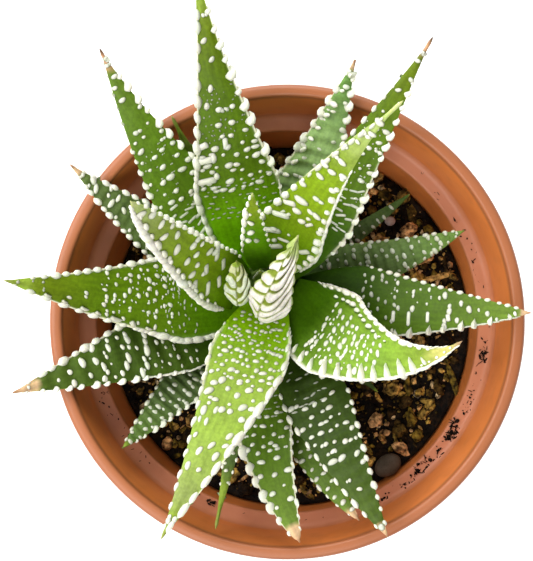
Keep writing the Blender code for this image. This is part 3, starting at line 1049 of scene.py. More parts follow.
@dataclass
class WartBed:
    """Collects where the warts of one leaf sit."""

    form: LeafForm
    tone: ToneColours
    rng: np.random.Generator
    milk: float = 1.0
    seats: Seats = field(default_factory=lambda: Seats({"milk": "FLOAT", "foot": "FLOAT_COLOR"}))

    def put(
        self, share: float, column: float, slant: float, size: Triple, shape: Shape,
        milk: float, lower: bool = False, lean: float = 0.0, inset: float = 0.0,
    ) -> None:
        """Adds one wart.

        Args:
            share: its place along the leaf.
            column: its place across the leaf.
            slant: its turn from the tip's direction to the right, in degrees.
            size: half length, half width and height in millimetres.
            shape: the template that it takes.
            milk: how white it is.
            lower: whether it sits on the lower face.
            lean: how far it tips outward over its edge, from 0 to 1.
            inset: how far it moves inward, in millimetres.
        """
        shares, columns = np.array([share]), np.array([column])
        seat, ahead, right, out = (v[0] for v in self.form.seats(shares, columns, lower))
        sign = 1.0 if column > 0 else -1.0
        axis = unit(out * (1 - lean) + right * sign * lean)
        turn = math.radians(slant)
        long = ahead * math.cos(turn) + right * math.sin(turn)
        long = unit(long - axis * (long @ axis))
        matrix = Matrix(np.stack([long, np.cross(axis, long), axis], 1).tolist())
        # The skin's colour at the foot, darkened as painted shade round the wart and paled a
        # little.
        foot = self.tone.at(shares, np.array([lower]))[0] * self.tone.foot_shade
        foot = blend_colours(foot, PALE_FOOT, self.tone.foot_pale)
        place = seat - right * sign * inset
        self.seats.add(place, matrix, size, int(shape), milk=milk * self.milk, foot=foot)

    def cover(self, band: Band, lower: bool = False) -> None:
        """Lays a band's rows of warts over a face."""
        form, rng = self.form, self.rng
        rows = max(1, round((band.last - band.first) * form.length / band.pitch))
        for row in range(rows + 1):
            share = band.first + (band.last - band.first) * row / rows
            half = float(form.half_width(np.array([share]))[0])
            count = max(1, round(2 * half * band.reach / band.gap))
            for index in range(count + 1):
                column = -1 + 2 * (index + 0.5 * (row % 2) + rng.uniform(-0.2, 0.2)) / count
                column *= band.reach
                kept = rng.random() >= band.skip and abs(column) <= band.reach + 0.04
                kept = kept and band.low <= column <= band.high
                size = rng.choice(SIZE_CLASSES) * rng.uniform(0.9, 1.1)
                turn = band.slant + rng.normal() * band.spread
                shift = rng.uniform(-0.25, 0.25) * band.pitch + band.arc * (1 - column**2)
                shift += band.tilt * column
                if not kept:
                    continue
                length, width = band.length * size, band.width * rng.uniform(0.85, 1.15)
                width = min(width * size**0.5, length)
                place = min(max(share + shift / form.length, FIRST_SHARE), LAST_SHARE)
                milk = band.milk * rng.uniform(0.76, 1.0)
                body = (length, width, width * DOME)
                self.put(place, column, turn, body, band.shape, milk, lower)
                if rng.random() < band.twins:
                    beside = column + rng.choice((-1, 1)) * 1.5 * length / max(half, 1.0)
                    if abs(beside) < 0.9:
                        body = tuple(0.8 * value for value in body)
                        self.put(place, beside, turn, body, band.shape, milk, lower)

    def fringe(self, edge: Fringe, sign: float) -> None:
        """Sets an edge's pearls or teeth, on the right for 1 and on the left for -1."""
        form, rng = self.form, self.rng
        count = max(1, round((edge.last - edge.first) * form.length / edge.pitch))
        for index in range(count + 1):
            share = edge.first + (edge.last - edge.first) * index / count
            share += rng.uniform(-0.15, 0.15) * edge.pitch / form.length
            size = rng.uniform(0.74, 1.2)
            turn = (edge.inward + rng.normal() * edge.spread) * -sign
            if rng.random() < edge.skip:
                continue
            near_end = min(share - edge.first, edge.last - share) / FADE_SHARE
            size *= 0.6 + 0.4 * min(max(near_end, 0.0), 1.0)
            length, width = edge.length * size, edge.width * size
            self.put(
                min(share, LAST_SHARE), EDGE_COLUMN * sign, turn, (length, width, width),
                edge.shape, edge.milk, lean=edge.lean, inset=edge.inset,
            )

    def mark(self, mark: Mark) -> None:
        """Adds a single wart."""
        size = (mark.length, mark.width, MARK_DOME * mark.width)
        self.put(mark.share, mark.column, mark.slant, size, mark.shape, mark.milk)


# ------------------------------------------------------------------ leaves


@dataclass(frozen=True)
class Scales:
    """Thick pearly rolls across the back of a heart leaf, parted by green grooves."""

    count: float
    keel: float
    left_rise: float
    right_rise: float
    height: float
    groove: float
    white: Colour
    first: float = 0.06
    last: float = 0.86

    def profile(self, shares: Array, columns: Array) -> tuple[Array, Array]:
        """Height and whiteness of the rolls, at points of the lower face."""
        off = columns - self.keel
        reach = np.abs(off)
        wander = 0.10 * np.sin(6.0 * columns + 17.0 * shares) + 0.08 * np.sin(31.0 * shares)
        sweep = self.right_rise * reach**2.2 - 0.3 * reach
        climb = np.where(off > 0, self.left_rise * reach, sweep)
        along = (shares * self.count - climb + wander + 0.5 * (off > 0)) % 1.0
        crease = ease(reach, 0.0, 0.11)
        gap = self.groove * (1.75 - 0.75 * crease) * (1 - 0.6 * ease(-off, 0.25, 0.8))
        zone = ease(shares, self.first, self.first + 0.05)
        zone = zone * (1 - ease(shares, self.last - 0.14, self.last))
        swell = np.sin(np.pi * np.clip(along / (1 - gap), 0.0, 1.0) ** 0.7)
        roll = np.maximum(swell, 0.0) ** 0.5
        white = ease(roll, 0.3, 0.75) * (0.45 + 0.55 * crease) * (0.4 + 0.6 * zone)
        return self.height * roll * (0.4 + 0.6 * zone) * (0.6 + 0.4 * crease), white


@dataclass(frozen=True)
class LeafKit:
    """What every leaf is made with: skins by tone, the warts' finish, tree and shapes."""

    skins: dict[Tone, Material]
    pearl: Material
    tree: ScatterTree
    shapes: WartShapes


# The pitch and height of a blade's swells and of its finer relief, in millimetres.
RELIEF = ((4.0, 0.14), (1.6, 0.07))
BACK_ROWS = Band(0.12, 0.85, 3.3, 3.4, 1.25, 0.5, shape=Shape.GRAIN, spread=8, reach=0.55)


@dataclass
class Leaf:
    """A leaf: the form of its solid, dressed with its tone, warts, edges and tip.

    swell and swell_pitch are the height and the distance of ridges across it, and tip_length
    is how far the tip's colours reach, in millimetres. gain scales the tone at the base, in
    the middle and far out, veil whitens it and milk whitens the warts; gain and milk also
    paint each leaf's light and shade into its colours, besides its own tone. pale_left and
    pale_right are the shares of the length between which an edge is pale.
    """

    form: LeafForm
    tone: Tone
    bands: tuple[Band, ...] = ()
    left: tuple[Fringe, ...] = ()
    right: tuple[Fringe, ...] = ()
    marks: tuple[Mark, ...] = ()
    tip: Tip = Tip.GREEN
    tip_length: float = 3.0
    swell: float = 0.0
    scales: Scales | None = None
    swell_pitch: float = 4.6
    has_back_rows: bool = True
    gain: Triple = (1.0, 1.0, 1.0)
    veil: float = 0.0
    milk: float = 1.0
    green_base: float = 0.4
    pale_left: tuple[float, float] = (0.0, 0.0)
    pale_right: tuple[float, float] = (0.0, 0.0)

    @property
    def colours(self) -> ToneColours:
        """The tone's colours, changed by the gain at the base, in the middle and far out."""
        tone = self.tone.value
        parts = zip((tone.base, tone.blade, tone.far), self.gain, (0.0, self.veil, self.veil))
        base, blade, far = (
            tuple(value * gain * (1 - veil) + white * veil for value, white in zip(part, VEIL))
            for part, gain, veil in parts
        )
        return replace(tone, base=base, blade=blade, far=far, green_base=self.green_base)

    def grid(self) -> tuple[Array, Array, Array]:
        """Shares, columns and whether each column is on the lower face, from ring to ring."""
        rings, upper_columns, lower_columns = (240, 23, 53) if self.scales else (96, 23, 17)
        upper = np.sin(np.pi / 2 * np.linspace(-1, 1, upper_columns))
        lower = np.sin(np.pi / 2 * np.linspace(1, -1, lower_columns + 2))[1:-1]
        is_lower = np.arange(len(upper) + len(lower)) >= len(upper)
        return np.linspace(0.0, 1.0, rings + 1), np.concatenate([upper, lower]), is_lower

    def tip_colours(self, colour: Array, share: Array, points: Array) -> Array:
        """Blends the tip's colours over the end of the leaf."""
        end, point, crisp = self.tip.value
        dry = self.tip_length / self.form.length
        wobble = np.array([0.25 * grain(p, 2.2) for p in points]) * dry
        reach = ease(share + wobble, 1 - dry - crisp * dry, 1 - dry + 0.3 * dry)
        colour = blend_colours(colour, end, reach)
        return blend_colours(colour, point, ease(share, 1 - 0.5 * dry, 1.0))

    def blade(self) -> Mesh:
        """Lofts the fine blade, with its skin colour stored on its points."""
        form = self.form
        shares, columns, is_lower = self.grid()
        around = len(columns)
        share, column = (g.ravel() for g in np.meshgrid(shares, columns, indexing="ij"))
        lower = np.tile(is_lower, len(shares))
        points = form.surface(share, column, lower)
        _, _, right, out = form.seats(share, column, False)
        out = np.where(lower[:, None], -out, out)
        middle = 1 - np.abs(column) ** 4
        relief = np.array([sum(grain(p, pitch) * high for pitch, high in RELIEF) for p in points])
        relief *= middle * ease(share, 0.05, 0.3)
        if self.swell:
            wave = np.cos(2 * np.pi * share * form.length / self.swell_pitch + 1.2 * column**2)
            relief += self.swell * wave * middle * ease(share, 0.2, 0.4)
        colour = self.colours.at(share, lower)
        for sign, (first, last) in ((-1.0, self.pale_left), (1.0, self.pale_right)):
            ridge = ease(share, first, first + 0.06) * (1 - ease(share, last - 0.08, last))
            ridge = ridge * ease(column * sign, 0.9, 0.975)
            colour = blend_colours(colour, MARGIN, 0.9 * ridge)
            relief = relief + 0.25 * ridge
        if self.scales:
            height, white = self.scales.profile(share, column)
            relief = np.where(lower, height + relief * 0.4, relief)
            lump = (height - 0.3 * self.scales.height) * ease(np.abs(column), 0.7, 1.0)
            points = points + right * (np.sign(column) * lump)[:, None]
            shade = ease(self.scales.keel - column, 0.1, 0.6) * ease(share, 0.25, 0.4)
            # The grooves take their green, the rolls pale to white from a grey-green foot that is
            # partly painted shade, and the grooves on one side of the keel take painted shade.
            for tint, part in (
                (GROOVE, 0.8 * (1 - white)), (ROLL_SHADE, 0.75 * shade * (1 - white)),
                (ROLL_FOOT, ease(white, 0.1, 0.5)), (self.scales.white, ease(white, 0.4, 0.95)),
            ):
                colour = blend_colours(colour, tint, np.where(lower, part, 0.0))
        colour = self.tip_colours(colour, share, points)
        points = points + out * relief[:, None]
        ends = [tuple(reversed(range(around))), tuple(range(len(points) - around, len(points)))]
        faces = hoops(len(shares) - 1, around) + ends
        mesh = closed_mesh(form.name + "_blade", points, faces)
        store(mesh, "skin", "FLOAT_COLOR", colour)
        flat = [column * form.half_width(share), share * form.length, np.where(lower, 40.0, 0.0)]
        store(mesh, "blade", "FLOAT_VECTOR", np.stack(flat, 1))
        return mesh

    def build(self, kit: LeafKit, seed: int) -> None:
        """Makes the blade and its warts, and rides both on the body."""
        blade = show(self.blade(), kit.skins[self.tone])
        ride(blade, self.form.name)
        bed = WartBed(self.form, self.colours, np.random.default_rng(seed), self.milk)
        for band in self.bands:
            bed.cover(band)
        for sign, edges in ((-1.0, self.left), (1.0, self.right)):
            for edge in edges:
                bed.fringe(edge, sign)
        for mark in self.marks:
            bed.mark(mark)
        if self.has_back_rows:
            bed.cover(BACK_ROWS, lower=True)
        if bed.seats.rows:
            name = f"{self.form.name}_warts"
            sizes = {"Width": 1.0, "Height": 1.0, "Variation": WART_VARIATION}
            places = bed.seats.mesh(f"{name}_places")
            ride(kit.tree.run(name, places, kit.shapes, kit.pearl, seed, sizes))


def dashes(first: float, last: float, **changes: float) -> Band:
    """Small dashes across the leaf, near its smooth base."""
    return Band(first, last, 1.55, 1.9, 0.5, 0.26, shape=Shape.GRAIN, **changes)


def beads(first: float, last: float, size: float, pitch: float, **changes: float) -> Band:
    """Round or oval beads in loose rows."""
    return Band(first, last, pitch, pitch * 0.95, size, size * 0.78, **changes)


def scallops(first: float, last: float, size: float, **changes: float) -> Fringe:
    """Touching half-round pearls along an edge."""
    return Fringe(first, last, size * 2.25, size, size * 0.66, **changes)


def rim(first: float, last: float, size: float, **changes: float) -> Fringe:
    """A thin continuous white edge."""
    return Fringe(first, last, 1.4, 1.9, size, spread=3, **changes)


def fangs(first: float, last: float, pitch: float, size: float, inward: float = -16) -> Fringe:
    """Blunt white teeth that point outward and forward along an edge."""
    return Fringe(first, last, pitch, size, size * 0.8, inward, shape=Shape.TOOTH, spread=7.0)


LEAVES: tuple[Leaf, ...] = (
    Leaf(
        LeafForm("leaf_heart_tip", 100, 25.4, 12, 4, 1.6, 84, 80, 1.2, taper=0.8, foot=0.8),
        Tone.HEART, left=(rim(0.3, 0.95, 0.2, milk=0.7),), right=(rim(0.3, 0.95, 0.2, milk=0.7),),
        tip_length=1.0, has_back_rows=False, gain=(0.6, 0.5, 0.5), pale_left=(0.3, 1.0),
        pale_right=(0.3, 1.0),
    ),
    Leaf(
        LeafForm("leaf_heart_south", 286, 23, 40, 9.0, 3.0, 82, 148, 5.0, turn=-39, sweep=-2,
                 taper=0.8, widest=0.45),
        Tone.HEART, tip=Tip.PALE, tip_length=4, has_back_rows=False,
        scales=Scales(10, 0.30, -0.6, 1.7, 0.95, 0.24, (0.64, 0.60, 0.54), last=1.02),
    ),
    Leaf(
        LeafForm("leaf_heart_west", 201, 24, 23, 6, 2.2, 84, 132, 5.9, turn=69, taper=0.4,
                 widest=0.5, foot=0.7),
        Tone.HEART, tip_length=1.0, has_back_rows=False, gain=(0.6, 0.5, 0.5),
        scales=Scales(5.5, 0.1, 0.3, 1.3, 0.6, 0.36, (0.56, 0.60, 0.46)),
    ),
    Leaf(
        LeafForm("leaf_heart_north", 101, 22, 50.5, 6.5, 2.6, 78, 70, 3.6, sweep=-14, taper=0.65),
        Tone.BRIGHT, left=(Fringe(0.35, 0.97, 4.2, 2.1, 0.62, spread=4),),
        right=(Fringe(0.4, 0.9, 3.4, 1.2, 0.5, milk=0.8),),
        marks=(
            Mark(0.5, -0.55, 1.2, 0.75, 0, Shape.BEAD), Mark(0.6, -0.32, 1.3, 0.8, 20, Shape.BEAD),
            Mark(0.71, -0.3, 1.2, 0.65, -20, Shape.BEAD), Mark(0.8, -0.4, 0.6, 0.4, 0, Shape.BEAD),
            Mark(0.49, 0.1, 1.2, 0.7, 0, Shape.BEAD, 0.5),
        ),
        tip=Tip.PALE, tip_length=1, gain=(1.0, 1.1, 1.3), green_base=0.9, pale_left=(0.3, 0.95),
    ),
    Leaf(
        LeafForm("leaf_upper_northwest", 197, 20, 54.5, 14, 3.8, 66, 52, 5.5, turn=-47, sweep=-18,
                 taper=0.65, widest=0.25, foot=0.7),
        Tone.YOUNG,
        bands=(
            Band(0.2, 0.36, 4.6, 4.6, 1.9, 0.66, 38, 8, 0.1, shape=Shape.BAR, milk=0.85),
            beads(0.38, 0.92, 1.0, 3.3, skip=0.08, milk=0.95),
        ),
        left=(rim(0.08, 0.97, 1.0), Fringe(0.15, 0.9, 3.3, 1.8, 0.8, 38, 1.0)),
        right=(scallops(0.2, 0.97, 1.05, milk=0.9),), tip=Tip.PALE, tip_length=7,
        gain=(0.78, 0.74, 0.6), milk=1.1, pale_left=(0.05, 1.0), pale_right=(0.45, 1.0),
    ),
    Leaf(
        LeafForm("leaf_upper_northeast", 61, 20.2, 69, 16.5, 4.0, 61, 43, 4.0, turn=2.5,
                 sweep=-25, taper=1.3, widest=0.24, foot=0.45),
        Tone.YOUNG,
        bands=(
            Band(0.14, 0.34, 4.2, 4.5, 1.6, 0.6, 60, 24, 0.25, shape=Shape.BAR),
            Band(0.17, 0.34, 4.2, 4.4, 0.85, 0.75, 60, 30, 0.2),
            beads(0.36, 0.62, 1.1, 4.2, skip=0.05), beads(0.63, 0.88, 0.8, 3.4, skip=0.2),
        ),
        left=(
            Fringe(0.15, 0.5, 3.6, 1.4, 0.95, 30, 0.4),
            Fringe(0.5, 0.9, 3.0, 1.5, 0.55, 20, 0.5, milk=0.75),
        ),
        right=(rim(0.1, 0.66, 0.42), Fringe(0.1, 0.62, 3.7, 1.15, 0.92, 60, 1.0)),
        marks=(
            Mark(0.31, -0.58, 2.1, 0.75, 62), Mark(0.215, -0.5, 2.1, 0.72, 58),
            Mark(0.385, -0.62, 1.5, 0.7, 60), Mark(0.345, 0.1, 1.0, 0.8, 60, Shape.BEAD),
        ),
        tip=Tip.PALE, tip_length=14, gain=(0.8, 0.72, 0.56), pale_left=(0.5, 0.9),
        pale_right=(0.05, 0.7),
    ),
    Leaf(
        LeafForm("leaf_upper_south", 284, 20.3, 64, 18.2, 4.2, 42, 15, 4.9, turn=-33, sweep=-10,
                 taper=0.95, widest=0.28, foot=0.55),
        Tone.YOUNG,
        bands=(
            beads(0.07, 0.2, 0.5, 1.8, slant=60, milk=0.95),
            beads(0.21, 0.36, 0.62, 1.95, slant=60), beads(0.38, 0.5, 0.85, 3.0, slant=50),
            Band(0.52, 0.78, 3.4, 3.3, 1.1, 0.6, 18, 12, 0.1),
            beads(0.8, 0.93, 0.75, 4.0, slant=20, skip=0.3),
        ),
        left=(rim(0.08, 0.6, 0.3), Fringe(0.1, 0.95, 4.1, 2.4, 0.85, 20, 0.4, spread=8)),
        right=(Fringe(0.15, 0.95, 3.9, 1.4, 0.62, -8, shape=Shape.TOOTH),), tip_length=7,
        gain=(1.45, 0.88, 0.5), veil=0.07, pale_left=(0.05, 0.95), pale_right=(0.15, 0.5),
    ),
    Leaf(
        LeafForm("leaf_upper_north", 110, 17, 77, 19.3, 4.2, 50, 16, 4.5, turn=-6, sweep=-5,
                 taper=1.25, widest=0.34, foot=0.6),
        Tone.BRIGHT,
        bands=(
            dashes(0.25, 0.37, arc=-2.0, milk=0.65, skip=0.2),
            beads(0.36, 0.47, 0.72, 2.3, arc=-2.0, skip=0.3),
            beads(0.48, 0.6, 0.8, 2.9, arc=-1.0, skip=0.2),
            Band(0.6, 0.86, 4.4, 3.0, 0.85, 0.62, 10, 20, 0.2, high=0.1, reach=0.6),
            Band(0.5, 0.66, 1.2, 1.3, 0.24, 0.18, 40, 40, 0.45, shape=Shape.GRAIN, milk=0.4),
        ),
        left=(
            Fringe(0.08, 0.4, 3.0, 2.0, 0.9, spread=3), rim(0.08, 0.4, 0.4),
            Fringe(0.38, 0.93, 3.7, 1.9, 1.0, 0),
        ),
        right=(fangs(0.3, 0.93, 3.8, 1.45, inward=-30), rim(0.15, 0.34, 0.3)),
        marks=(
            Mark(0.375, -0.72, 2.2, 0.85, 90), Mark(0.385, -0.46, 0.9, 0.7, 5, Shape.BEAD),
            Mark(0.443, -0.72, 1.8, 0.8, 88), Mark(0.447, -0.5, 1.3, 0.75, 5, Shape.BEAD),
            Mark(0.49, -0.8, 1.3, 0.8, 75), Mark(0.485, -0.08, 1.4, 0.55, 5),
        ),
        tip_length=9, gain=(2.1, 0.72, 0.7), milk=0.8, pale_left=(0.05, 0.98),
        pale_right=(0.3, 0.98),
    ),
    Leaf(
        LeafForm("leaf_upper_east", 342, 16, 57, 21, 4.2, 45, 35, 5.4, turn=-27, sweep=84, bow=2,
                 taper=1.2, foot=0.45, cup=0.5),
        Tone.BRIGHT,
        bands=(
            beads(0.27, 0.6, 0.62, 2.0, slant=80, skip=0.06, low=-0.6, high=0.75, twins=0.05),
            beads(0.28, 0.55, 0.32, 1.6, slant=80, skip=0.5, low=-0.5),
        ),
        left=(
            rim(0.12, 0.92, 0.26), Fringe(0.24, 0.62, 2.1, 0.85, 0.6, 0, 2.3, Shape.BEAD),
            Fringe(0.14, 0.85, 2.5, 1.3, 0.62, 14, 0.4),
        ),
        right=(
            Fringe(0.2, 0.82, 2.9, 2.1, 1.26, 108, 1.5, Shape.TOOTH, 3, lean=0.12),
            rim(0.14, 0.97, 0.38), Fringe(0.8, 0.95, 2.2, 0.6, 0.45, inset=0.8),
        ),
        tip=Tip.GOLD, tip_length=8, gain=(0.45, 1.5, 1.35), veil=0.04, green_base=0.46,
        pale_left=(0.1, 0.97), pale_right=(0.1, 1.0),
    ),
    Leaf(
        LeafForm("leaf_middle_northeast", 33, 14.5, 69, 15.8, 3.8, 42, 12, 5.6, turn=22, sweep=4,
                 taper=1.15, widest=0.3, foot=0.42),
        Tone.BRIGHT,
        bands=(
            Band(0.28, 0.44, 2.0, 2.1, 0.95, 0.28, 70, 14, 0.12, shape=Shape.BAR, milk=0.8,
                 arc=-1.5, tilt=1.0),
            beads(0.45, 0.66, 0.66, 2.5, skip=0.05), beads(0.67, 0.95, 0.66, 3.2),
            Band(0.4, 0.66, 1.3, 1.3, 0.25, 0.18, 40, 40, 0.5, shape=Shape.GRAIN, milk=0.7),
        ),
        left=(Fringe(0.3, 0.8, 3.4, 1.0, 0.6),),
        right=(fangs(0.2, 0.85, 3.2, 1.3), Fringe(0.42, 0.6, 3.6, 1.3, 0.5, 95, 1.9)),
        tip=Tip.BROWN, tip_length=4.5, gain=(0.46, 0.82, 0.74), green_base=0.5,
        pale_right=(0.15, 0.6),
    ),
    Leaf(
        LeafForm("leaf_middle_west", 205, 13, 60, 21, 4.2, 34, 22, 5.5, turn=-21, sweep=-14,
                 taper=0.97, widest=0.28, foot=0.62),
        Tone.BRIGHT,
        bands=(
            dashes(0.22, 0.34, milk=0.55, skip=0.3),
            Band(0.33, 0.6, 2.05, 2.0, 0.56, 0.44, 60, 30, 0.08),
            Band(0.3, 0.62, 1.5, 1.4, 0.3, 0.22, 60, 30, 0.55, shape=Shape.GRAIN),
            Band(0.62, 0.74, 3.0, 3.2, 0.75, 0.5, 10, 20, 0.35, reach=0.45),
            Band(0.8, 0.95, 3.0, 1.8, 0.4, 0.35, 30, 30, 0.2, milk=0.5),
        ),
        left=(
            rim(0.08, 0.47, 0.75), Fringe(0.42, 0.82, 3.7, 1.6, 0.62, 48, 0.8, Shape.HOOK),
            Fringe(0.46, 0.95, 3.7, 1.4, 0.7),
        ),
        right=(rim(0.22, 0.46, 0.7), scallops(0.42, 0.9, 1.2)), tip_length=6,
        gain=(0.72, 0.84, 0.84), milk=0.8, pale_left=(0.05, 0.97), pale_right=(0.2, 0.97),
    ),
    Leaf(
        LeafForm("leaf_middle_east", 345, 12.8, 60.5, 17, 3.8, 31, 17, 5.7, turn=5, sweep=9,
                 taper=0.85, foot=0.34),
        Tone.MID,
        bands=(
            Band(0.34, 0.47, 1.9, 1.9, 0.5, 0.38, 90, 14, 0.1, milk=0.75),
            beads(0.48, 0.66, 0.58, 3.2, skip=0.05, high=0.25),
            beads(0.68, 0.93, 0.62, 3.2, skip=0.08),
            beads(0.46, 0.8, 0.34, 3.3, skip=0.5, high=0.25),
        ),
        left=(Fringe(0.36, 0.95, 2.2, 0.85, 0.52, milk=0.95),),
        right=(
            Fringe(0.42, 0.92, 4.0, 1.35, 1.5, 84, 0.45, Shape.TOOTH),
            rim(0.3, 0.95, 0.2, milk=0.6),
        ),
        marks=(
            Mark(0.473, 0.35, 1.2, 0.42, 90), Mark(0.535, 0.42, 1.6, 0.42, 90),
            Mark(0.61, 0.36, 1.2, 0.42, 90), Mark(0.69, 0.4, 0.8, 0.5, 80),
        ),
        tip=Tip.TAN, tip_length=2.5, gain=(0.5, 0.85, 0.88), milk=0.92, green_base=0.55,
    ),
    Leaf(
        LeafForm("leaf_middle_southeast", 307, 11.3, 63, 15.5, 3.8, 33, 13, 6.2, turn=-18,
                 sweep=12, taper=0.85, widest=0.46, foot=0.4),
        Tone.DARK,
        bands=(
            Band(0.26, 0.42, 2.3, 2.4, 0.85, 0.3, 90, 12, 0.15, shape=Shape.GRAIN, milk=0.55,
                 arc=1.5),
            beads(0.42, 0.62, 0.6, 2.5, arc=1.5, skip=0.12),
            beads(0.63, 0.95, 0.78, 3.1, skip=0.1, slant=60, spread=30),
        ),
        left=(Fringe(0.35, 0.95, 3.0, 0.95, 0.68),), right=(Fringe(0.3, 0.95, 3.3, 1.2, 0.6),),
        tip=Tip.TAN, tip_length=3.5, swell=0.16, swell_pitch=3.1, gain=(0.42, 0.56, 0.74),
        milk=0.8,
    ),
    Leaf(
        LeafForm("leaf_middle_northwest", 134, 10.5, 67, 17, 4.0, 38, 23, 6.0, sweep=-20,
                 taper=1.1),
        Tone.MID,
        bands=(
            Band(0.26, 0.4, 2.2, 2.4, 1.1, 0.36, 80, 14, 0.2, shape=Shape.BAR, milk=0.8, arc=-1.5),
            beads(0.41, 0.64, 0.8, 2.9, arc=-1.0, skip=0.08),
            beads(0.65, 0.95, 0.66, 3.5, skip=0.1),
            Band(0.36, 0.62, 1.6, 1.5, 0.28, 0.2, 60, 40, 0.6, shape=Shape.GRAIN, milk=0.6),
        ),
        left=(
            fangs(0.3, 0.64, 2.9, 1.2),
            Fringe(0.64, 0.95, 3.2, 0.6, 0.4, -20, milk=0.4, shape=Shape.TOOTH),
        ),
        right=(fangs(0.3, 0.95, 3.5, 1.25),), tip=Tip.BROWN, tip_length=5.5,
        gain=(2.4, 1.15, 0.85), milk=0.9,
    ),
    Leaf(
        LeafForm("leaf_middle_south", 273, 8.0, 59.5, 15, 3.6, 30, 18, 6.2, turn=-13, sweep=37,
                 taper=0.7, widest=0.42, foot=0.35),
        Tone.MID,
        bands=(
            dashes(0.27, 0.45, milk=0.5, arc=1.5), beads(0.45, 0.6, 0.62, 2.5, arc=1.5),
            beads(0.61, 0.95, 0.74, 3.6, skip=0.1),
        ),
        left=(Fringe(0.35, 0.95, 3.1, 1.2, 0.6, -10, shape=Shape.TOOTH, milk=0.9),),
        right=(fangs(0.38, 0.95, 3.5, 1.7), rim(0.28, 0.5, 0.7)), tip=Tip.TAN, tip_length=4.5,
        gain=(0.75, 0.92, 0.88), milk=0.85, pale_left=(0.3, 1.0), pale_right=(0.25, 1.0),
    ),
    Leaf(
        LeafForm("leaf_middle_southwest", 227, 7.8, 62.5, 18.8, 3.8, 31, 23, 6.6, turn=-23,
                 sweep=-6, taper=0.92, widest=0.32),
        Tone.DARK,
        bands=(
            beads(0.28, 0.46, 0.5, 2.2, skip=0.15, milk=0.85),
            Band(0.47, 0.63, 4.6, 1.75, 1.1, 0.62, 92, 8, 0.02, tilt=-2.5, twins=0.0),
            beads(0.5, 0.62, 0.5, 3.0, skip=0.4), beads(0.66, 0.95, 0.82, 3.4),
        ),
        left=(fangs(0.35, 0.95, 3.2, 1.15), rim(0.25, 0.5, 0.3)),
        right=(scallops(0.34, 0.93, 1.35),), tip=Tip.TAN, tip_length=6, swell=0.26,
        gain=(0.9, 0.84, 0.88), milk=0.95, pale_right=(0.3, 0.95),
    ),
    Leaf(
        LeafForm("leaf_lower_northeast", 71, 7, 57, 15.5, 3.4, 33, 30, 6.2, turn=-7, sweep=6),
        Tone.PALE, bands=(beads(0.45, 0.95, 0.72, 3.7, skip=0.2),),
        left=(Fringe(0.3, 0.93, 3.7, 2.2, 0.7, 74, 1.3), fangs(0.3, 0.93, 3.7, 1.3)),
        right=(fangs(0.5, 0.93, 3.5, 1.25),), tip=Tip.TAN, tip_length=3, swell=0.34,
        swell_pitch=3.7, gain=(1.4, 1.4, 1.1), pale_left=(0.3, 0.95),
    ),
    Leaf(
        LeafForm("leaf_lower_west", 157, 6.6, 54, 14, 3.4, 32, 34, 6.3, sweep=-20, taper=0.95,
                 foot=0.6),
        Tone.DARK, bands=(Band(0.3, 0.93, 2.7, 2.6, 0.95, 0.6, 60, 18, 0.05),),
        left=(scallops(0.35, 0.93, 1.1),), right=(Fringe(0.35, 0.93, 2.8, 1.1, 0.6),), tip=Tip.TAN,
        tip_length=4, swell=0.2, swell_pitch=2.7, gain=(1.0, 1.0, 0.95), veil=0.04,
    ),
    Leaf(
        LeafForm("leaf_lower_east", 8, 6, 46.5, 13, 3.2, 25, 23, 6.2, sweep=16, taper=0.8),
        Tone.GREY, bands=(Band(0.2, 0.97, 2.4, 1.9, 0.62, 0.52, 90, 12, 0.04),),
        left=(Fringe(0.3, 0.95, 2.4, 0.8, 0.5, 20),),
        right=(Fringe(0.35, 0.95, 2.4, 1.0, 0.5, 60, 0.4),), tip_length=0.8, swell=0.26,
        swell_pitch=2.4, gain=(1.2, 1.4, 1.2), milk=0.6,
    ),
    Leaf(
        LeafForm("leaf_lower_southeast", 286, 4.5, 59, 12, 3.0, 24, 26, 6.3, turn=-14, sweep=42,
                 taper=0.7),
        Tone.DARK, bands=(beads(0.4, 0.95, 0.62, 2.7),), left=(Fringe(0.4, 0.93, 3.0, 0.8, 0.5),),
        right=(Fringe(0.4, 0.95, 3.0, 0.9, 0.4),), tip=Tip.TAN, tip_length=3.5, swell=0.1,
        gain=(1.2, 1.5, 1.4), milk=0.9,
    ),
    Leaf(
        LeafForm("leaf_lower_southwest", 231, 4.5, 48, 13.5, 3.4, 24, 23, 6.5, turn=1, sweep=-6,
                 taper=0.8),
        Tone.GREY, bands=(Band(0.15, 0.95, 2.25, 1.75, 0.58, 0.48, 90, 16, 0.04),),
        left=(fangs(0.3, 0.93, 2.6, 0.95), rim(0.3, 0.6, 0.3)),
        right=(Fringe(0.25, 0.95, 2.4, 0.9, 0.55),), tip_length=2.0, swell=0.3, swell_pitch=2.25,
        gain=(0.9, 0.9, 0.95), milk=0.66,
    ),
    Leaf(
        LeafForm("leaf_thin_north", 121, 4, 47, 6.5, 2.6, 29, 45, 6.3, turn=-1, sweep=-4,
                 foot=0.6),
        Tone.MID, bands=(beads(0.45, 0.7, 0.4, 3.0, milk=0.8),),
        left=(Fringe(0.5, 0.75, 3.2, 0.7, 0.4),), right=(Fringe(0.5, 0.75, 3.2, 0.7, 0.4),),
        tip_length=9, gain=(1.2, 1.5, 1.4),
    ),
    Leaf(
        LeafForm("leaf_thin_south", 259, 2, 57, 6.5, 2.4, 22, 30, 6.4),
        Tone.GREY, bands=(beads(0.4, 0.8, 0.55, 3.0, skip=0.1, milk=0.85),),
        left=(Fringe(0.4, 0.8, 3.4, 0.8, 0.45),), right=(Fringe(0.4, 0.8, 3.6, 0.8, 0.45),),
        tip_length=12,
    ),
    Leaf(
        LeafForm("leaf_thin_east", 22, 2, 37, 5.5, 2.4, 12, 25, 6.5, turn=9, sweep=6, taper=0.7),
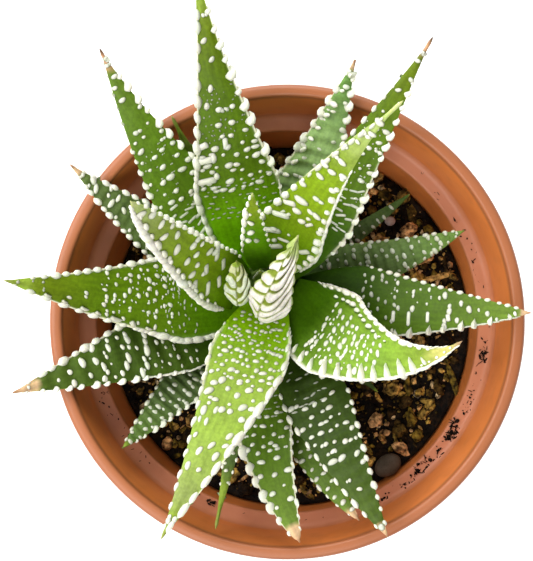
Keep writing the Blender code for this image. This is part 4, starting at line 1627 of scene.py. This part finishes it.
        Tone.GREY, bands=(beads(0.3, 0.9, 0.5, 2.2, milk=0.6),), tip_length=0.3, swell=0.14,
        swell_pitch=2.2, gain=(0.75, 0.78, 0.6),
    ),
    Leaf(
        LeafForm("leaf_thin_southeast", 317, 2.5, 32, 7.5, 2.4, 8, 16, 6.5, taper=0.9),
        Tone.GREY, bands=(beads(0.3, 0.92, 0.5, 2.0, milk=0.7),), tip_length=1, swell=0.1,
        gain=(0.6, 0.6, 0.6),
    ),
)


@dataclass
class Plant:
    """The whole rosette: its leaves and the stem that they leave."""

    leaves: tuple[Leaf, ...] = LEAVES
    seed: int = 40

    def build(self) -> None:
        """Makes every leaf and gives the stem its finish."""
        shapes = WartShapes()
        skins = {
            tone: SkinFinish(f"skin_{tone.name.lower()}", tone.value.gloss).make() for tone in Tone
        }
        kit = LeafKit(skins, PearlFinish().make(), ScatterTree("pearl_warts"), shapes)
        for index, leaf in enumerate(self.leaves):
            leaf.build(kit, self.seed + index)
        shapes.remove()
        stem = frame["nodes"]["stem"]
        stem.data.materials.clear()
        stem.data.materials.append(StemFinish().make())
        LOG.info("%s: %d faces", stem.name, len(stem.data.polygons))


# ------------------------------------------------------------------ pot


@dataclass
class Pot:
    """The moulded pot: a rounded lip, a deep rim band, a ledge inside and drain holes."""

    height: float = 95.0
    rim_radius: float = 55.0
    base_radius: float = 39.0
    wall: float = 1.9
    floor: float = 2.2
    ledge: float = 76.0
    ledge_inner: float = 46.4
    ledge_outer: float = 50.3
    lip_inner: float = 52.1
    band_foot: float = 74.5
    sides: int = 192
    drain_holes: int = 8
    drain_circle: float = 26.0
    drain_radius: float = 4.0
    sharp_angle: float = 42.0

    def wall_radius(self, height: float) -> float:
        """The inner wall's radius below the ledge, at a height."""
        foot = self.base_radius - self.wall
        return foot + (self.ledge_inner - foot) * (height - self.floor) / (self.ledge - self.floor)

    def corners(self) -> list[Triple]:
        """The half section's corners: radius, height and how far each is rounded."""
        return [
            (self.rim_radius, self.height, 1.5),
            (self.rim_radius - 0.6, self.band_foot, 0.8),
            (self.ledge_inner + self.wall + 0.1, self.band_foot, 1.4),
            (self.base_radius, 0.0, 1.2),
            (0.0, 0.0, 0.0),
            (0.0, self.floor, 0.0),
            (self.wall_radius(self.floor), self.floor, 1.6),
            (self.ledge_inner, self.ledge, 0.6),
            (self.ledge_outer, self.ledge + 0.35, 1.6),
            (self.lip_inner, self.height, 0.9),
        ]

    def section(self, steps: int = 6) -> list[Array]:
        """The half section with its corners rounded, as radius and height."""
        corners = self.corners()
        points = []
        for index, (radius, height, rounding) in enumerate(corners):
            here = np.array([radius, height])
            if rounding == 0:
                points.append(here)
                continue
            start, end = (
                here + unit(np.array(other[:2]) - here) * rounding
                for other in (corners[index - 1], corners[(index + 1) % len(corners)])
            )
            for share in np.arange(steps + 1) / steps:
                middle = here * 2 * share * (1 - share)
                points.append(start * (1 - share) ** 2 + middle + end * share**2)
        return points

    def drills(self) -> Piece:
        """The drain holes' cutters, as one object."""
        shape = bmesh.new()
        for angle in circle(self.drain_holes) + math.pi / self.drain_holes:
            place = Vector((math.cos(angle), math.sin(angle), 0.0)) * self.drain_circle * MM
            place.z = self.floor / 2 * MM
            bmesh.ops.create_cone(
                shape, cap_ends=True, segments=36, radius1=self.drain_radius * MM,
                radius2=self.drain_radius * MM, depth=4 * self.floor * MM,
                matrix=Matrix.Translation(place),
            )
        return show(mesh_of("drills", shape))

    def build(self) -> None:
        """Turns the section round the axis, cuts the drain holes and finishes the pot."""
        points, rings, faces = [], [], []
        for radius, height in self.section():
            turns = circle(self.sides) if radius else (0.0,)
            ring = list(range(len(points), len(points) + len(turns)))
            rings.append(ring * (self.sides // len(turns)) + ring[:1])
            points += [(radius * math.cos(a), radius * math.sin(a), height) for a in turns]
        for low, high in zip(rings, rings[1:] + rings[:1]):
            for side in range(self.sides):
                corners = (low[side], low[side + 1], high[side + 1], high[side])
                faces.append(tuple(dict.fromkeys(corners)))
        faces = [face for face in faces if len(face) > 2]
        pot = show(closed_mesh("pot_shell", points, faces))
        drills = self.drills()
        cut = pot.modifiers.new("drain_holes", "BOOLEAN")
        cut.operation, cut.object, cut.solver = "DIFFERENCE", drills, "EXACT"
        graph = bpy.context.evaluated_depsgraph_get()
        pot.data = bpy.data.meshes.new_from_object(pot.evaluated_get(graph), depsgraph=graph)
        pot.modifiers.clear()
        bpy.data.objects.remove(drills)
        pot.data.name = pot.name
        pot.data.shade_smooth()
        pot.data.set_sharp_from_angle(angle=math.radians(self.sharp_angle))
        pot.data.materials.clear()
        pot.data.materials.append(PlasticFinish().make())
        ride(pot, "pot")


# ------------------------------------------------------------------ soil and stones


@dataclass(frozen=True)
class Stone:
    """One smooth stone on the soil: its side and distance from the axis, and half sizes."""

    node: str
    heading: float
    reach: float
    half_length: float
    half_width: float
    half_height: float
    turn: float
    finish: StoneFinish

    def centre(self, soil: "Soil") -> Array:
        """The middle of the stone, lying on the soil."""
        angle = math.radians(self.heading)
        x, y = self.reach * math.cos(angle), self.reach * math.sin(angle)
        return np.array([x, y, soil.level(x, y) + self.half_height + 0.2])

    def build(self, soil: "Soil") -> None:
        """Makes the stone, slightly uneven, and finishes it."""
        turn = Matrix.Rotation(math.radians(self.turn), 3, "Z")
        centre = Vector(self.centre(soil))
        half = (self.half_length, self.half_width, self.half_height)

        def wear(point: Vector) -> Vector:
            """Moves a ball's point to the stone's surface."""
            uneven = 1 - 0.07 * (0.5 + 0.5 * noise.noise(point * 1.3 + centre))
            spot = Vector([part * reach * uneven for part, reach in zip(point, half)])
            return (turn @ spot + centre) * MM

        mesh = ball_mesh(f"{self.node}_stone", 4, wear)
        ride(show(mesh, self.finish.make()), self.node)


STONES = (
    Stone("pebble_dark", 305, 43.0, 3.6, 2.7, 2.0, 34,
          StoneFinish("river_stone", (0.05, 0.038, 0.024), (0.085, 0.065, 0.045))),
    Stone("pebble_pale", 44, 36.0, 1.4, 1.2, 1.1, 0,
          StoneFinish("pale_stone", (0.36, 0.27, 0.23), (0.48, 0.40, 0.36))),
)


@dataclass(frozen=True)
class CrumbLayer:
    """One layer of lumps: its faces, the spacing, the lumps' half sizes in millimetres, and
    the darkest and the palest grain value."""

    name: str
    subdivisions: int
    spacing: float
    smallest: float
    largest: float
    darkest: float
    palest: float


@dataclass
class Soil:
    """The soil: a sloping bed round the stem's hole, strewn with crumbs and grit."""

    pot: Pot
    stones: tuple[Stone, ...] = STONES
    mean_level: float = 64.6
    climb: float = 5.6
    high_side: float = 300.0
    hole_radius: float = 6.3
    hole_floor: float = 51.5
    rings: int = 56
    sides: int = 144
    open_radius: float = 43.2
    open_round_stem: float = 8.5
    open_above: float = 50.0
    wall_gap: float = 0.5
    floor_gap: float = 0.3
    foot_gap: float = 2.4
    stone_gap: float = 0.4
    density: float = 2.0e6
    seed: int = 5
    layers: tuple[CrumbLayer, ...] = (
        CrumbLayer("soil_bark", 3, 4.1, 1.3, 2.4, 0.22, 0.84),
        CrumbLayer("soil_lumps", 1, 1.9, 0.7, 1.4, 0.08, 0.96),
        CrumbLayer("soil_crumbs", 1, 0.95, 0.25, 0.6, 0.0, 0.85),
    )

    def level(self, x: float, y: float) -> float:
        """The mean level at a place, sloping across the pot."""
        high = math.radians(self.high_side)
        along = (x * math.cos(high) + y * math.sin(high)) / self.pot.ledge_inner
        return self.mean_level + self.climb * along + 1.2 * max(along, 0.0)

    def top(self, x: float, y: float) -> float:
        """The level with its relief, pressed down under the stones."""
        spot = Vector((x, y, 3.0))
        height = self.level(x, y) + 0.75 * noise.noise(spot / 3.2) + 0.35 * noise.noise(spot / 1.3)
        for stone in self.stones:
            centre = stone.centre(self)
            if math.hypot(x - centre[0], y - centre[1]) < stone.half_length + 1.0:
                height = min(height, centre[2] - stone.half_height - 0.1)
        return height

    def bed(self) -> tuple[Array, list[Face]]:
        """Points and faces of the closed bed, from the hole's floor over the top to its foot."""
        rays = [np.array([math.cos(turn), math.sin(turn)]) for turn in circle(self.sides)]
        hole = [CROWN[:2] + self.hole_radius * ray for ray in rays]
        points = [(*spot, self.hole_floor) for spot in hole]
        for share in np.arange(self.rings + 1) / self.rings:
            for ray, start in zip(rays, hole):
                rough = self.level(*(self.pot.ledge_inner * ray))
                edge = self.pot.wall_radius(rough) - self.wall_gap
                x, y = (1 - share) * start + share * edge * ray
                points.append((x, y, self.top(x, y)))
        bottom = self.pot.floor + self.floor_gap
        foot = self.pot.wall_radius(bottom) - self.foot_gap
        points += [(*(foot * ray), bottom) for ray in rays]
        faces = hoops(self.rings + 2, self.sides, flip=True)
        faces.append(tuple(range(self.sides)))
        faces.append(tuple(reversed(range(len(points) - self.sides, len(points)))))
        return np.array(points), faces

    def openness(self, points: Array) -> Array:
        """1 where the soil lies open, and 0 near the stem, the wall and the stones."""
        place = points[:, :2]
        is_open = (np.hypot(*place.T) < self.open_radius) & (points[:, 2] > self.open_above)
        is_open &= np.hypot(*(place - CROWN[:2]).T) > self.open_round_stem
        for stone in self.stones:
            apart = np.hypot(*(place - stone.centre(self)[:2]).T)
            is_open &= apart > stone.half_length + self.stone_gap
        return is_open.astype(float)

    def build(self) -> None:
        """Makes the bed and its crumbs, and finishes them."""
        finish = EarthFinish("peat").make()
        points, faces = self.bed()
        mesh = closed_mesh("soil_bed", points, faces)
        # The bed's low grain values make it near black: painted shade between and under the crumbs
        # and along the wall.
        store(mesh, "grain", "FLOAT", [0.12 + 0.14 * grain(p, 2.5) for p in points])
        ride(show(mesh, finish), "soil")
        tree = CrumbTree("soil_crumbs")
        for index, layer in enumerate(self.layers):
            shapes = CrumbShapes(layer.subdivisions)
            source = mesh.copy()
            store(source, "open", "FLOAT", self.openness(points))
            sizes = {
                "Spacing": layer.spacing * MM, "Density": self.density,
                "Smallest": layer.smallest * MM, "Largest": layer.largest * MM,
                "Darkest": layer.darkest, "Palest": layer.palest,
            }
            seed = self.seed + 50 * index
            ride(tree.run(layer.name, source, shapes, finish, seed, sizes))
            shapes.remove()


@dataclass
class LedgeSpecks:
    """Specks of soil that lie on the pot's ledge, thickest on the lower right side.

    Each cluster has a side of the pot, its spread, how many clumps it has, how many specks
    a clump has and their half size in millimetres.
    """

    pot: Pot
    seed: int = 11
    inner_gap: float = 0.5
    outer_gap: float = 0.7
    clump_spread: float = 0.55
    lift: float = 0.25
    clusters: tuple[tuple[float, float, int, int, float], ...] = (
        (349, 2.0, 2, 9, 0.46), (335, 3.0, 2, 6, 0.40), (325, 2.5, 4, 11, 0.52),
        (316, 4.0, 4, 7, 0.48), (307, 5.0, 4, 4, 0.36), (297, 4.0, 3, 4, 0.34),
        (340, 16.0, 34, 1, 0.26), (310, 12.0, 30, 1, 0.26), (12, 12.0, 14, 1, 0.26),
        (40, 8.0, 8, 1, 0.28), (18, 1.0, 1, 4, 0.34), (214, 7.0, 16, 1, 0.26),
        (203, 3.0, 3, 4, 0.30), (258, 10.0, 5, 1, 0.30), (247, 0.5, 1, 5, 0.5),
    )

    def build(self) -> None:
        """Scatters the specks and finishes them as one piece."""
        rng = np.random.default_rng(self.seed)
        seats = Seats({"grain": "FLOAT"})
        inner = self.pot.ledge_inner + self.inner_gap
        outer = self.pot.ledge_outer - self.outer_gap
        for heading, spread, clumps, count, size in self.clusters:
            for _ in range(clumps):
                angle = math.radians(heading + rng.normal() * spread)
                radius = rng.uniform(inner, outer)
                for _ in range(count):
                    half = size * rng.uniform(0.3, 1.25)
                    apart = self.clump_spread * (rng.normal(size=2) if count > 1 else np.zeros(2))
                    reach = min(max(radius + apart[0], inner), outer)
                    side = angle + apart[1] / reach
                    place = (reach * math.cos(side), reach * math.sin(side),
                             self.pot.ledge + self.lift + 0.3 * half)
                    turn = Matrix.Rotation(rng.uniform(0, 6.3), 3, "Z")
                    body = (half, half * rng.uniform(0.5, 1.0), half * 0.5)
                    shape = int(rng.integers(0, len(CrumbShapes.PROPORTIONS)))
                    seats.add(place, turn, body, shape, grain=rng.uniform(0.0, 0.25))
        lumps = CrumbShapes(1)
        specks = ScatterTree("ledge_scatter").run(
            "ledge_specks", seats.mesh("specks_places"), lumps, EarthFinish("ledge_peat").make(),
            self.seed, {"Width": 1.0, "Height": 1.0, "Variation": 0.1},
        )
        lumps.remove()
        ride(specks)


# ------------------------------------------------------------------ studio


@dataclass(frozen=True)
class Lamp:
    """A soft square light: its side and height in degrees, its power, size and distance."""

    name: str
    azimuth: float
    elevation: float
    power: float
    size: float
    distance: float = 1.0

    def build(self, target: Vector) -> None:
        """Adds the light, pointing at the target."""
        data = bpy.data.lights.new(self.name, "AREA")
        data.energy, data.size = self.power, self.size
        lamp = add_object(self.name, data)
        across, up = math.radians(self.azimuth), math.radians(self.elevation)
        ray = Vector((math.cos(across) * math.cos(up), math.sin(across) * math.cos(up),
                      math.sin(up)))
        lamp.location = target + ray * self.distance
        lamp.rotation_euler = (-ray).to_track_quat("-Z", "Y").to_euler()


@dataclass
class Studio:
    """The floor, the lights and the camera straight above the pot."""

    camera_height: float = 0.445
    target: Triple = (-0.00468, 0.00934, 0.095)
    lens: float = 97.39
    sensor: float = 36.0
    half_floor: float = 3000.0
    sky: Colour = (0.95, 0.97, 1.0)
    sky_strength: float = 0.34
    lamps: tuple[Lamp, ...] = (
        Lamp("key", 156.0, 41.0, 12.0, 0.9), Lamp("fill", 246.0, 46.0, 10.0, 1.0),
        Lamp("back", 92.0, 32.0, 7.5, 0.8),
    )

    def floor(self) -> None:
        """Adds the plain pale floor."""
        half = self.half_floor
        corners = [(-half, -half, 0), (half, -half, 0), (half, half, 0), (-half, half, 0)]
        sheet = MaterialSheet("pale_floor")
        tone = sheet.cloud(6.0, 0.0, 1.0)
        finish = sheet.shade(
            Base_Color=sheet.mix(tone, (0.90, 0.90, 0.89), (0.93, 0.93, 0.92)), Roughness=0.9,
            Emission_Strength=0.4, Emission_Color=(1.0, 1.0, 1.0),
        )
        show(mesh_from("floor", corners, [(0, 1, 2, 3)], smooth=False), finish)

    def camera(self) -> None:
        """Adds the camera, with the top of its picture towards +Y."""
        data = bpy.data.cameras.new("camera")
        data.lens, data.sensor_width = self.lens, self.sensor
        data.clip_start, data.clip_end = 0.01, 20.0
        camera = add_object("camera", data)
        place = Vector((0.0, 0.0, self.camera_height))
        ahead = (Vector(self.target) - place).normalized()
        right = ahead.cross(Vector((0.0, 1.0, 0.0))).normalized()
        turn = Matrix((right, right.cross(ahead), -ahead)).transposed()
        camera.matrix_world = Matrix.Translation(place) @ turn.to_4x4()
        bpy.context.scene.camera = camera

    def build(self) -> None:
        """Sets up the whole studio."""
        self.floor()
        for lamp in self.lamps:
            lamp.build(Vector(self.target))
        world = bpy.data.worlds.new("studio_air")
        world.use_nodes = True
        sky = world.node_tree.nodes["Background"]
        sky.inputs["Color"].default_value = (*self.sky, 1.0)
        sky.inputs["Strength"].default_value = self.sky_strength
        scene = bpy.context.scene
        scene.world = world
        scene.view_settings.view_transform = "Standard"
        scene.view_settings.look = "None"
        self.camera()


def main() -> None:
    """Builds the studio, the pot, the soil and the plant, in that order."""
    logging.basicConfig(level=logging.INFO, format="%(message)s")
    Studio().build()
    pot = Pot()
    pot.build()
    soil = Soil(pot)
    soil.build()
    for stone in soil.stones:
        stone.build(soil)
    LedgeSpecks(pot).build()
    Plant().build()
    bpy.context.view_layer.update()


if __name__ == "__main__":
    main()
